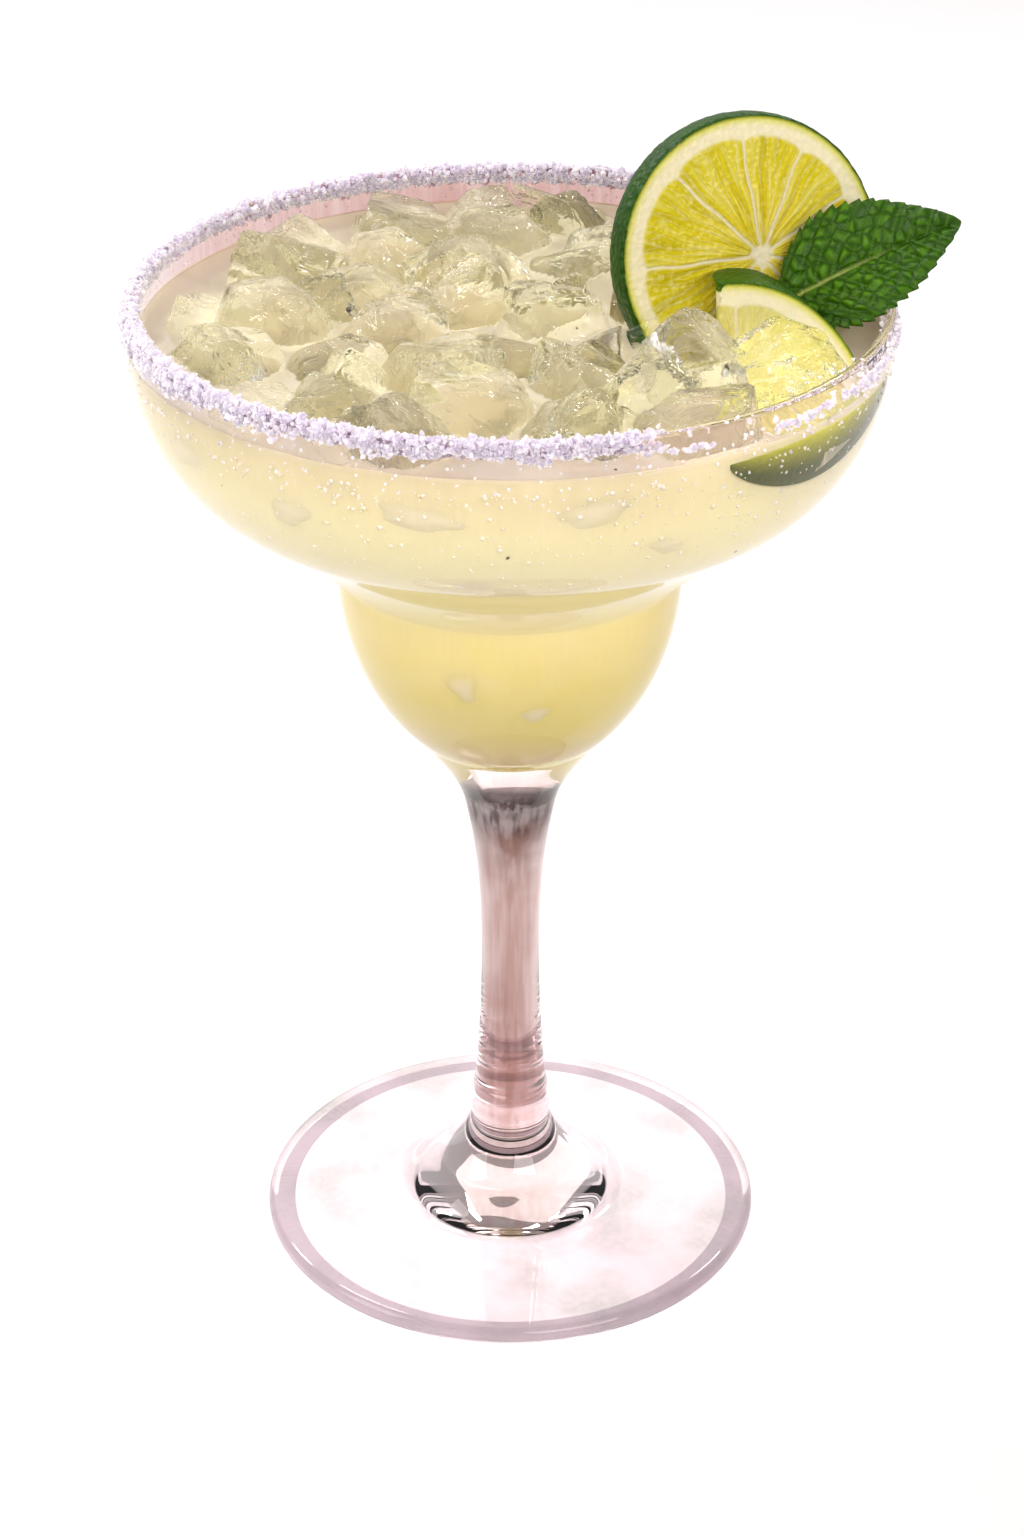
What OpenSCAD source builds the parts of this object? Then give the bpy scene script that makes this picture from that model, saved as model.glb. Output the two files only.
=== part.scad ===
// Margarita in a stepped, stemmed glass with a salted lip, ice, two lime slices and a mint leaf.
// Millimetres, +Z up, origin at the centre of the foot on the table. The front of the drink faces -Y.

/* [Glass] */
// Outer diameter of the lip
rim_d = 116.8; // [90:0.1:145]
// Height of the straight wall just under the lip
lip_h = 4.7; // [2:0.1:12]
// Height of the wide bowl's rounded side, under the straight wall
bowl_round_h = 27.1; // [20:0.1:36]
// How far the bowl's rounded side comes in from the lip
bowl_round_w = 20.6; // [12:0.1:24]
// Height of the sloping step between the cup and the wide bowl
step_h = 13.6; // [8:0.1:20]
// Outer diameter of the cup under the bowl
cup_d = 54.7; // [44:0.1:60]
// Depth of the cup's rounded part, if it ran on down to a point on the axis
cup_round_h = 36; // [28:0.1:44]
// Height of the flare that joins the cup to the stem
cup_flare_h = 13; // [8:0.1:20]
// Thickness of the bowl's and the cup's wall
wall = 1.6; // [1.2:0.1:2.4]
// Solid glass between the top of the stem and the inside of the cup
cup_floor_h = 16.6; // [12:0.1:24]

/* [Stem and foot] */
// Height of the stem's top end above the table
stem_top_z = 80.4; // [60:0.1:110]
// Height of the stem's narrowest place above the table
waist_z = 50.4; // [38:0.1:55]
// Height of the stem's low end, where the foot starts to flare
stem_low_z = 20; // [16:0.1:30]
// Diameter of the stem at its narrowest
waist_d = 9.7; // [7:0.1:14]
// Diameter of the stem at its top end
stem_top_d = 15; // [11:0.1:20]
// Diameter of the stem at its low end
stem_low_d = 12.8; // [10:0.1:18]
// Outer diameter of the foot
foot_d = 84; // [66:0.1:104]
// Thickness of the foot's rounded edge
foot_edge = 3.4; // [2.4:0.1:5]
// Diameter of the raised dome in the middle of the foot
dome_d = 36; // [26:0.1:44]
// Height of the dome's lower edge above the table
dome_z = 5.2; // [4.2:0.1:9]
// Width of the ring that the foot stands on
contact_w = 3; // [1.5:0.1:6]
// Hollow under the foot, at its middle
foot_hollow = 1.2; // [0.4:0.1:2]

/* [Drink] */
// Space between the drink's surface and the lip
drink_gap = 6.5; // [4.5:0.1:12]

/* [Salt] */
// Thickness of the salt crust
salt_t = 1.3; // [0.5:0.1:1.6]
// How far the crust reaches down the outside of the lip
salt_out_h = 5.6; // [3:0.1:8]
// How far the crust reaches down the inside of the lip
salt_in_h = 3; // [1.5:0.1:4]
// How much of the outside of the lip is bare where the salt was rubbed off
salt_bare_h = 2.4; // [1:0.1:2.8]
// Direction in which the bare stretch of the lip starts
salt_bare_from = -70; // [-90:1:-60]
// Direction in which the bare stretch of the lip ends
salt_bare_to = 26; // [22:1:60]

/* [Lime wheel] */
// Diameter of the wheel that stands at the back
wheel_d = 42; // [32:0.1:48]
// Thickness of the wheel
wheel_t = 5.6; // [3:0.1:7]
// Height of the wheel's centre above the lip
wheel_rise = 4.2; // [0:0.1:8]
// Direction of the wheel's centre from the glass's axis
wheel_az = 9; // [0:1:20]
// Direction in which the wheel's cut face runs
wheel_turn = 20; // [10:1:30]
// How far the wheel leans back
wheel_lean = 14; // [5:1:20]

/* [Lime slice] */
// Diameter of the slice that lies at the front
slice_d = 38; // [32:0.1:46]
// Thickness of the slice
slice_t = 4.2; // [3:0.1:6]
// Depth of the slice's low edge under the drink's surface
slice_drop = 6.2; // [5:0.1:12]
// Direction of the slice's middle from the glass's axis
slice_az = -31; // [-45:1:-25]
// How far the slice's side is pressed flat against the bowl's wall
slice_press = 4; // [1:0.1:6]
// Direction in which the slice rises
slice_turn = 88; // [70:1:110]
// Slope of the slice's low side
slice_slope = 15; // [5:1:25]
// How much steeper the slice gets up to its top edge, where it is bent
slice_bend = 72; // [40:1:80]

/* [Mint leaf] */
// Length of the leaf's blade
leaf_l = 29.6; // [24:0.1:36]
// Width of the leaf's blade
leaf_w = 19.6; // [13:0.1:22]
// Thickness of the leaf's blade
leaf_t = 0.6; // [0.5:0.1:1]
// How far the leaf's base stands to the right of the slice's top
leaf_aside = 5; // [4:0.1:10]
// Space between the slice's back and the leaf's base
leaf_behind = 3.3; // [0.3:0.1:4]
// How far the leaf's base stands below the slice's top
leaf_drop = 6.4; // [2:0.1:11]
// How far the leaf's middle passes over the lip, at least
leaf_over = 5.2; // [5:0.1:9]
// Direction in which the leaf points
leaf_turn = 5; // [-10:1:12]
// How steeply the leaf rises
leaf_rise = 25; // [15:1:40]
// How far the leaf's upper side is turned to the front
leaf_roll = 44; // [25:1:60]
// Thickness of the leaf's stalk
stalk_d = 1.6; // [1.2:0.1:2.4]

/* [Ice] */
// Places for ice in the spiral that covers the drink's surface
ice_places = 33; // [20:1:38]
// Length of a middle-sized piece of ice
ice_size = 17.5; // [12:0.1:22]
// Narrowest gap between neighbouring pieces of ice
ice_gap = 0.7; // [0.4:0.1:1.5]
// Free strip between the ice and the bowl's wall
ice_margin = 1.4; // [0.6:0.1:6]
// Direction of the patch of drink that has no ice
clear_az = 158; // [140:1:175]
// Width of the patch of drink that has no ice
clear_w = 15; // [10:0.1:20]

/* [Hidden] */
function ice_name(i) = str("ice_", i < 9 ? "0" : "", i + 1);
$fn = 96;
gap = 0.3;
arc_steps = 18;
lip_steps = 8;
reach = 3 * rim_d;

rim_r = rim_d / 2;
cup_r = cup_d / 2;
foot_r = foot_d / 2;
inner_r = rim_r - wall;
bowl_end_a = 77;
cup_end_a = 56;
cup_top_z = stem_top_z + cup_flare_h + cup_round_h * sin(cup_end_a);
bowl_low_z = cup_top_z + step_h;
bowl_mid_z = bowl_low_z + bowl_round_h * sin(bowl_end_a);
glass_h = bowl_mid_z + lip_h;
floor_z = stem_top_z + cup_floor_h;
level_z = glass_h - drink_gap;

// The wheel's right edge stands just inside the lip.
wheel_r = wheel_d / 2;
wheel_half = sqrt(pow(wheel_r, 2) - pow(wheel_rise, 2));
wheel_free_r = inner_r - gap;
wheel_dist = sqrt(pow(wheel_free_r, 2) - pow(wheel_half * sin(wheel_turn - wheel_az), 2))
    - wheel_half * cos(wheel_turn - wheel_az);
wheel_at = [wheel_dist * cos(wheel_az), wheel_dist * sin(wheel_az), glass_h + wheel_rise];
// Line along which the wheel's middle crosses the drink's surface.
wheel_dir = [cos(wheel_turn), sin(wheel_turn)];
wheel_mid = [wheel_at[0], wheel_at[1]] - (wheel_at[2] - level_z) * tan(wheel_lean)
    * [-sin(wheel_turn), cos(wheel_turn)];

// The slice lies in the bowl with its outer side pressed against the wall.
slice_r = slice_d / 2;
slice_rows = 20;
slice_step = slice_d / slice_rows;
slice_up = [cos(slice_turn), sin(slice_turn)];
// Middle line of its cut face, as distance along the ground and height, added up in small steps.
slice_line = [for (i = 0, p = [0, 0]; i <= slice_rows;
                   p = p + slice_step * [cos(slice_a((i + 0.5) * slice_step)),
                                         sin(slice_a((i + 0.5) * slice_step))],
                   i = i + 1) p];
slice_deep = slice_line[slice_rows][0];
slice_high = slice_line[slice_rows][1];
slice_mid_r = bowl_r(level_z - slice_drop / 2) - slice_r + slice_press;
slice_at = concat(slice_mid_r * [cos(slice_az), sin(slice_az)] - slice_line[slice_rows / 2][0] * slice_up,
                  level_z - slice_drop);

// The leaf's base stands behind the slice's top, and high enough for the blade to pass over the lip.
leaf_rows = 16;
leaf_cols = 8;
leaf_fold = 0.16;
leaf_bow = 0.05;
leaf_ground = [slice_at[0], slice_at[1]] + (slice_deep + slice_t + leaf_behind) * slice_up
    + leaf_aside * [sin(slice_turn), -cos(slice_turn)];
leaf_at = concat(leaf_ground,
                 max(slice_at[2] + slice_high - leaf_drop,
                     glass_h + leaf_over - (inner_r - norm(leaf_ground)) * tan(leaf_rise)));

ice_reach = inner_r - ice_margin - ice_size * 0.36;
near_reach = ice_size * 0.6;
wheel_clear = 1.5;
slice_inset = 3;
slice_back_w = 6;
leaf_clear = 2;
chip_small = 1.22;
chip_large = 1.26;
golden_a = 137.508;
clear_r = inner_r - clear_w * 0.6;
clear_at = [clear_r * cos(clear_az), clear_r * sin(clear_az)];

ICE = [for (i = [0:ice_places - 1]) if (is_ice(i)) i];

// ---- Curves ----

function lerp(a, b, t) = a + (b - a) * t;

// Points of an arc of an ellipse about [cx, cz].
function arc(cx, cz, rx, rz, from, to, steps = arc_steps) =
    [for (i = [0:steps]) let (a = lerp(from, to, i / steps)) [cx + rx * cos(a), cz + rz * sin(a)]];

// Points of a cubic Bezier curve, without its two ends.
function bezier(p0, p1, p2, p3, steps = arc_steps) =
    [for (i = [1:steps - 1]) let (t = i / steps, u = 1 - t)
        u^3 * p0 + 3 * u^2 * t * p1 + 3 * u * t^2 * p2 + t^3 * p3];

// Inside of the bowl and the cup, from the lip down to the cup's floor on the axis.
function bowl_inside() = concat(
    arc(rim_r - bowl_round_w, bowl_mid_z, bowl_round_w - wall, bowl_round_h - wall, 0, -bowl_end_a),
    arc(0, cup_top_z + wall / 2, cup_r - wall, cup_top_z + wall / 2 - floor_z, 0, -90));

// Inner radius of the upper bowl at height z.
function bowl_r(z) = rim_r - bowl_round_w + (bowl_round_w - wall)
    * sqrt(1 - pow(min(0, z - bowl_mid_z) / (bowl_round_h - wall), 2));

// ---- Glass ----

// Outside of the foot and the stem, from the contact ring up to the cup.
function foot_outline() = concat(
    [[0, foot_hollow], [foot_r - foot_edge / 2 - contact_w, 0]],
    arc(foot_r - foot_edge / 2, foot_edge / 2, foot_edge / 2, foot_edge / 2, -90, 90, lip_steps),
    [[dome_d / 2 + 2, dome_z - 0.5]],
    bezier([dome_d / 2 + 2, dome_z - 0.5], [dome_d / 2 - 1, dome_z], [dome_d / 2 - 1.5, dome_z + 2],
           [dome_d / 2 - 5, dome_z + 4.2], 8),
    [[dome_d / 2 - 5, dome_z + 4.2]],
    bezier([dome_d / 2 - 5, dome_z + 4.2], [dome_d / 2 - 8.5, dome_z + 6.4], [stem_low_d / 2 + 0.6, stem_low_z - 4],
           [stem_low_d / 2, stem_low_z], 8),
    [[stem_low_d / 2, stem_low_z]],
    bezier([stem_low_d / 2, stem_low_z], [stem_low_d / 2 - 0.6, stem_low_z + 10], [waist_d / 2, waist_z - 12],
           [waist_d / 2, waist_z]),
    [[waist_d / 2, waist_z]],
    bezier([waist_d / 2, waist_z], [waist_d / 2, waist_z + 12], [stem_top_d / 2 - 2.2, stem_top_z - 10],
           [stem_top_d / 2, stem_top_z]),
    [[stem_top_d / 2, stem_top_z]]);

function cup_outline() =
    let (join = [cup_r * cos(cup_end_a), cup_top_z - cup_round_h * sin(cup_end_a)])
    concat(
        bezier([stem_top_d / 2, stem_top_z], [stem_top_d / 2 + 1.1, stem_top_z + 4.8], join - [3.2, 4.2], join),
        arc(0, cup_top_z, cup_r, cup_round_h, -cup_end_a, 0),
        arc(rim_r - bowl_round_w, bowl_mid_z, bowl_round_w, bowl_round_h, -bowl_end_a, 0));

// Rounded top of the lip, from its outside over to its inside, grown by t.
function lip_arc(t = 0) =
    arc(rim_r - wall / 2, glass_h - wall / 2, wall / 2 + t, wall / 2 + t, 0, 180, lip_steps);

// Space inside the bowl, up past the lip, at a clearance from its wall.
module inside_bowl(clear = 0) {
    top = glass_h + reach / 4;
    rotate_extrude()
        polygon([for (p = concat([[0, top], [inner_r, top]], bowl_inside()))
            [max(0, p[0] - clear), p[1]]]);
}

module glass() {
    color([0.93, 0.88, 0.92, 0.4])
        rotate_extrude()
            polygon(concat(foot_outline(), cup_outline(), lip_arc(), bowl_inside()));
}

// ---- Salt ----

// Crust from the outside of the lip, over it and down the inside.
function salt_crust() = let (low = glass_h - salt_out_h, in_low = glass_h - salt_in_h)
    concat([[rim_r, low], [rim_r + salt_t, low + salt_t / 2]],
           lip_arc(salt_t),
           [[inner_r - salt_t, in_low], [inner_r, in_low]],
           [for (i = [lip_steps:-1:0]) lip_arc()[i]]);

// What is rubbed off: all but the low part of the outside.
function salt_rubbed() = let (mid_r = rim_r - wall / 2, out = 2 * salt_t)
    [[mid_r, glass_h - salt_bare_h], [rim_r + out, glass_h - salt_bare_h],
     [rim_r + out, glass_h + out], [inner_r - out, glass_h + out],
     [inner_r - out, glass_h - salt_in_h - out], [mid_r, glass_h - salt_in_h - out]];

module salt_rim() {
    color([0.95, 0.92, 0.97])
        difference() {
            rotate_extrude()
                polygon(salt_crust());
            rotate([0, 0, salt_bare_from])
                rotate_extrude(angle = salt_bare_to - salt_bare_from)
                    polygon(salt_rubbed());
        }
}

// ---- Lime wheel ----

// Turns a piece that lies flat, face up, into the wheel's place.
module in_wheel_place() {
    translate(wheel_at)
        rotate([0, 0, wheel_turn])
            rotate([90 - wheel_lean, 0, 0])
                children();
}

module lime_wheel() {
    bulge = wheel_t / 12;
    color([0.80, 0.82, 0.20])
        in_wheel_place()
            rotate_extrude()
                polygon(concat([[0, -wheel_t / 2]],
                               arc(wheel_r - bulge, 0, bulge, wheel_t / 2, -90, 90, lip_steps),
                               [[0, wheel_t / 2]]));
}

// ---- Lime slice, bent up at its top edge ----

// Slope of the slice at b, which runs from its low edge to its top edge.
function slice_a(b) = slice_slope + slice_bend * pow(b / slice_d, 4);
// A point of the slice: row i from the low edge, c across from -1 to 1, d under the cut face.
function slice_point(i, c, d) =
    let (a = slice_a(i * slice_step), b = i * slice_step - slice_r,
         half = sqrt(max(0, pow(slice_r, 2) - pow(b, 2))),
         p = slice_line[i] + d * [sin(a), -cos(a)], x = c * half)
    slice_at + [p[0] * cos(slice_turn) + x * sin(slice_turn),
                p[0] * sin(slice_turn) - x * cos(slice_turn), p[1]];

module slice_disc() {
    across = 6;
    ring = 2 * across + 2;
    // Every row is a ring: over the cut face, then back along the underside.
    rows = [for (i = [1:slice_rows - 1]) concat(
        [for (k = [0:across]) slice_point(i, lerp(-1, 1, k / across), 0)],
        [for (k = [0:across]) slice_point(i, lerp(1, -1, k / across), slice_t)])];
    ends = [for (i = [0, slice_rows]) [slice_point(i, 0, 0), slice_point(i, 0, slice_t)]];
    count = len(rows);
    points = concat([for (r = rows) each r], ends[0], ends[1]);
    low = count * ring;
    high = low + 2;
    polyhedron(points, concat(
            [for (i = [0:count - 2], k = [0:ring - 1]) let (n = (k + 1) % ring)
                each [[i * ring + k, (i + 1) * ring + n, i * ring + n],
                      [i * ring + k, (i + 1) * ring + k, (i + 1) * ring + n]]],
            [for (k = [0:across - 1]) [k, k + 1, low]],
            [for (k = [across + 1:ring - 2]) [k, k + 1, low + 1]],
            [[across, low + 1, low], [across, across + 1, low + 1],
             [0, low, low + 1], [0, low + 1, ring - 1]],
            let (s = (count - 1) * ring) concat(
                [for (k = [0:across - 1]) [s + k + 1, s + k, high]],
                [for (k = [across + 1:ring - 2]) [s + k + 1, s + k, high + 1]],
                [[s + across, high, high + 1], [s + across, high + 1, s + across + 1],
                 [s, high + 1, high], [s, s + ring - 1, high + 1]])));
}

module lime_slice() {
    color([0.72, 0.78, 0.24])
        intersection() {
            slice_disc();
            inside_bowl(gap);
        }
}

// ---- Mint leaf ----

// Half the blade's width at s, from the base at 0 to the tip at 1.
function leaf_half(s) = leaf_w / 2 * pow(sin(180 * pow(s, 0.76)), 0.8);

// A point of the blade: s along the midrib, v across from -1 to 1, d above the blade's middle.
function leaf_local(s, v, d) =
    let (x = leaf_l * s, y = v * leaf_half(s))
    [x, y, d + leaf_fold * abs(y) + leaf_l * leaf_bow * sin(180 * s)];

function turn_x(p, a) = [p[0], p[1] * cos(a) - p[2] * sin(a), p[1] * sin(a) + p[2] * cos(a)];
function turn_y(p, a) = [p[0] * cos(a) + p[2] * sin(a), p[1], -p[0] * sin(a) + p[2] * cos(a)];
function turn_z(p, a) = [p[0] * cos(a) - p[1] * sin(a), p[0] * sin(a) + p[1] * cos(a), p[2]];
function leaf_point(s, v, d) =
    leaf_at + turn_z(turn_y(turn_x(leaf_local(s, v, d), leaf_roll), -leaf_rise), leaf_turn);

module leaf_blade() {
    ring = 2 * leaf_cols;
    // Every row is a ring: over the upper side, then back along the lower side, with sharp edges.
    rows = [for (i = [1:leaf_rows - 1]) let (s = i / leaf_rows) concat(
        [for (k = [0:leaf_cols]) let (v = lerp(-1, 1, k / leaf_cols))
            leaf_point(s, v, abs(v) == 1 ? 0 : leaf_t / 2)],
        [for (k = [leaf_cols - 1:-1:1]) leaf_point(s, lerp(-1, 1, k / leaf_cols), -leaf_t / 2)])];
    count = len(rows);
    tips = [leaf_point(0, 0, 0), leaf_point(1, 0, 0)];
    base = count * ring;
    polyhedron(concat([for (r = rows) each r], tips), concat(
        [for (i = [0:count - 2], k = [0:ring - 1]) let (n = (k + 1) % ring)
            each [[i * ring + k, i * ring + n, (i + 1) * ring + n],
                  [i * ring + k, (i + 1) * ring + n, (i + 1) * ring + k]]],
        [for (k = [0:ring - 1]) [base, (k + 1) % ring, k]],
        [for (k = [0:ring - 1]) let (s = (count - 1) * ring) [base + 1, s + k, s + (k + 1) % ring]]));
}

// Short stalk from inside the blade's base down into the drink.
module leaf_stalk() {
    top = leaf_point(0.12, 0, 0);
    length = top[2] - level_z + 3;
    translate(top - [0, 0, length])
        cylinder(d = stalk_d, h = length, $fn = 24);
}

module mint_leaf() {
    color([0.18, 0.42, 0.10]) {
        leaf_blade();
        leaf_stalk();
    }
}

// ---- Ice ----

// A repeatable number from 0 to 1 for place i; k picks one of its several numbers.
function pick(i, k) = rands(0, 1, 1, 1000 * k + i)[0];

function ice_at(i) = let (r = ice_reach * sqrt((i + 0.5) / ice_places), a = i * golden_a)
    [r * cos(a), r * sin(a)];

// Distance of a place to the side of the wheel's middle, and along it.
function wheel_side(p) = cross(wheel_dir, p - wheel_mid);
function wheel_along(p) = wheel_dir * (p - wheel_mid);

// Place on the slice, as distance across it and distance up from its low edge.
function slice_across(p) = cross(p - [slice_at[0], slice_at[1]], slice_up);
function slice_along(p) = slice_up * (p - [slice_at[0], slice_at[1]]);

function near_wheel(p) = abs(wheel_along(p)) < wheel_r + near_reach
    && abs(wheel_side(p)) < wheel_t / 2 + ice_size;
function near_slice(p) = abs(slice_across(p)) < slice_r + near_reach
    && slice_along(p) > -near_reach && slice_along(p) < slice_deep + slice_t + near_reach;

// Ice goes where it isn't under the wheel, the slice's top edge or the leaf, or in the clear patch.
function is_ice(i) = let (p = ice_at(i))
    !(abs(wheel_along(p)) < wheel_r && abs(wheel_side(p)) < wheel_t / 2 + wheel_clear)
    && !(abs(slice_across(p)) < slice_r - slice_inset && abs(slice_along(p) - slice_deep) < slice_back_w)
    && !(p[0] > leaf_at[0] + leaf_clear && abs(p[1] - leaf_at[1]) < leaf_w * 0.6)
    && norm(p - clear_at) > clear_w / 2 + 2.5;

// Everything past a plane through p, in the direction az and up by tilt.
module beyond(p, az, tilt) {
    translate(p)
        rotate([0, -tilt, az])
            translate([0, -reach / 2, -reach / 2])
                cube(reach);
}

// Leaning of the plane between two places, the same plane seen from either side.
function pair_tilt(i, j) = (i < j ? 1 : -1) * 26 * sin(71 * (i + j) + 13 * i * j);

module ice_block(i) {
    s = ice_size * lerp(0.86, 1.16, pick(i, 1));
    size = [s, s * lerp(0.72, 1, pick(i, 2)), s * lerp(0.62, 0.86, pick(i, 3))];
    p = ice_at(i);
    translate([p[0], p[1], level_z + lerp(-3.4, 0.4, pick(i, 4))])
        rotate([lerp(-32, 32, pick(i, 5)), lerp(-32, 32, pick(i, 6)), 360 * pick(i, 7)])
            intersection() {
                cube(size, center = true);
                rotate([38, 12, 41])
                    cube(size * chip_small, center = true);
                rotate([-20, 44, 15])
                    cube(size * chip_large, center = true);
            }
}

// Room inside the bowl for ice: a cone that stays inside the curved wall.
module ice_room() {
    low_z = level_z - ice_size * 0.7;
    high_z = glass_h + 12;
    translate([0, 0, low_z])
        cylinder(r1 = bowl_r(low_z) - ice_margin, r2 = inner_r - ice_margin, h = level_z - low_z);
    translate([0, 0, level_z])
        cylinder(r = inner_r - ice_margin, h = high_z - level_z);
}

// What lies nearer to each neighbouring place than to place i.
module beyond_neighbours(i) {
    p = ice_at(i);
    for (j = [0:ice_places - 1])
        if (j != i && norm(ice_at(j) - p) < ice_size * 1.5) {
            q = ice_at(j);
            az = atan2(q[1] - p[1], q[0] - p[0]);
            tilt = pair_tilt(i, j);
            mid = (p + q) / 2;
            translate([mid[0], mid[1], level_z])
                beyond(-ice_gap / 2 * [cos(az) * cos(tilt), sin(az) * cos(tilt), sin(tilt)], az, tilt);
        }
}

// What lies at the wheel, seen from place p: past its face, or past its end.
module beyond_wheel(p) {
    side = wheel_side(p) > 0 ? -1 : 1;
    face = wheel_t / 2 + gap;
    n = [sin(wheel_turn) * cos(wheel_lean), -cos(wheel_turn) * cos(wheel_lean), sin(wheel_lean)];
    if (wheel_along(p) < -wheel_r)
        beyond(concat(wheel_mid - (wheel_r + gap) * wheel_dir, 0), wheel_turn, 0);
    else
        beyond(wheel_at + side * face * n, wheel_turn + side * 90, -side * wheel_lean);
}

// Everything under the slice's cut face, run on past its low edge and up behind its top edge.
module under_slice() {
    line = [for (i = [0:slice_rows]) let (a = slice_a(i * slice_step))
        slice_line[i] + gap * [-sin(a), cos(a)]];
    translate(slice_at)
        rotate([0, 0, slice_turn])
            rotate([90, 0, 0])
                linear_extrude(rim_d, center = true)
                    polygon(concat([[-rim_r, -rim_d], line[0] - rim_r * [1, tan(slice_slope)]], line,
                                   [[slice_deep, rim_r], [rim_d, rim_r], [rim_d, -rim_d]]));
}

// What lies at the slice, seen from place p: past its side, under its face, or past its back.
module beyond_slice(p) {
    side = sign(slice_across(p));
    if (abs(slice_across(p)) > slice_r - 1)
        beyond(slice_at + side * (slice_r + gap) * [sin(slice_turn), -cos(slice_turn), 0],
               slice_turn + side * 90, 0);
    else if (slice_along(p) < slice_deep)
        under_slice();
    else
        beyond(slice_at + (slice_deep + slice_t + gap) * concat(slice_up, 0), slice_turn + 180, 0);
}

module ice(i) {
    p = ice_at(i);
    color([0.90, 0.95, 0.92, 0.6])
        difference() {
            intersection() {
                ice_block(i);
                ice_room();
            }
            beyond_neighbours(i);
            if (near_wheel(p))
                beyond_wheel(p);
            if (near_slice(p))
                beyond_slice(p);
        }
}

// ---- Drink ----

module drink() {
    color([0.93, 0.91, 0.62])
        difference() {
            intersection() {
                inside_bowl();
                cylinder(r = rim_r, h = level_z);
            }
            lime_wheel();
            lime_slice();
            mint_leaf();
            for (i = ICE)
                ice(i);
        }
}

glass();
drink();
salt_rim();
lime_wheel();
lime_slice();
mint_leaf();
for (i = ICE)
    ice(i);
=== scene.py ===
"""Looks of a margarita: a stepped stemmed glass, the cloudy drink, melting ice, salt, lime and a mint leaf.

Lengths inside the shape functions are millimetres; a mesh is written in metres.
"""

import math
from types import SimpleNamespace

import bpy
import numpy as np
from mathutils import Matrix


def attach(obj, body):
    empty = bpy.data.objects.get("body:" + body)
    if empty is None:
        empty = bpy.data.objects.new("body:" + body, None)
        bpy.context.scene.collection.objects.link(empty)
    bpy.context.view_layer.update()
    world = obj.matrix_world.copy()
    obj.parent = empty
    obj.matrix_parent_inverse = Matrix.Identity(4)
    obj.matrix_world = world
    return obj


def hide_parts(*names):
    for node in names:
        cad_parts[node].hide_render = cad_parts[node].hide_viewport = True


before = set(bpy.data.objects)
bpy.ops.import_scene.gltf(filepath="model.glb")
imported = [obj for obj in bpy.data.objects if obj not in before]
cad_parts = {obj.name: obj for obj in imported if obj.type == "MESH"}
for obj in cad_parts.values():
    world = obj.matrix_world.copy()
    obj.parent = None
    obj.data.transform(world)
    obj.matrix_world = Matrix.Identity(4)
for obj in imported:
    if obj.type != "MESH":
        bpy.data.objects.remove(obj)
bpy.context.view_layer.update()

bl_info = {
    "name": "Margarita",
    "version": (1, 0, 0),
    "blender": (4, 5, 0),
    "location": "View3D > Sidebar > Margarita",
    "description": "Builds a margarita with ice, salt, lime and mint around its CAD frame",
    "category": "Add Mesh",
}

MM = 0.001
BODY = "root"
ICE_NODES = sorted(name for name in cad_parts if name.startswith("ice_"))
TAU = 2 * math.pi
# Steps round the axis, few enough that each piece stays under 200,000 triangles.
GLASS_STEPS = 224
DRINK_STEPS = 480
LIME_STEPS = 640
# How far the drink's side lies inside the glass's wall, so that no air gap shows between them.
DRINK_BITE = 0.5
# Small ice between the large pieces: x, y, height of its middle over the surface, and its size.
SMALL_ICE = (
    (-40, 20, -1.0, 11), (-33, 34, -1.0, 12), (-20, 44, -1.2, 12), (-4, 48, -0.8, 12), (10, 47, -1.0, 11),
    (-46, 4, -1.2, 11), (-45, -14, -1.0, 11), (-36, -32, -0.8, 12), (-22, -44, -1.0, 11), (12, -40, 0.4, 12),
    (-28, 6, 1.0, 10), (-12, 20, 1.2, 10), (4, 8, 1.0, 10), (-8, -14, 1.2, 10), (12, -20, 1.0, 11),
    (24, -4, 0.8, 10), (-24, -22, 1.0, 10), (14, 28, 0.6, 11), (27, -20, 5.2, 12.5), (20, -32, 2.0, 12),
)
# Ice under the surface, at the wall: direction in degrees, height, width, height of the patch, its tilt.
SUNK_ICE = (
    (-78, 156.5, 13, 5.5, 0.15), (-103, 155.5, 16, 5, -0.1), (-124, 152.5, 10, 6, 0.4),
    (-146, 155.5, 11, 6, 0.2), (-96, 143, 15, 5, 0.05), (-66, 149, 8, 4, -0.3), (-107, 112.5, 6.5, 9, 0.2),
    (-80, 107.5, 7.5, 6, 0.3), (40, 155.5, 13, 6, 0.1), (80, 154, 11, 6, -0.2), (120, 156, 14, 5, 0.1),
    (165, 154, 10, 6, 0.3),
)
# Colour of the glass from the foot (0) to the lip (1), with painted reflections of the rosy brown
# surroundings: clear foot, rosy stem, dark flare, clear bowl.
GLASS_TINT_AND_PAINTED_REFLECTIONS = [
    (0.0, "#E9E4E4"), (0.05, "#ECE6E6"), (0.075, "#CFB0A9"), (0.11, "#8C5644"), (0.2, "#84493A"),
    (0.36, "#8A5240"), (0.44, "#643B2E"), (0.458, "#24100B"), (0.499, "#28130E"), (0.515, "#C9AEA6"),
    (0.56, "#F8F3F4"), (0.95, "#FBF8FA"), (0.99, "#F1E2E6"),
]
# How much of the painted reflection gives way to pale glass at the edges: all of it where this is white.
PALE_EDGES = [
    (0.03, "#606060"), (0.05, "#FFFFFF"), (0.43, "#FFFFFF"), (0.455, "#080808"), (0.5, "#080808"),
    (0.525, "#FFFFFF"),
]
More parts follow.
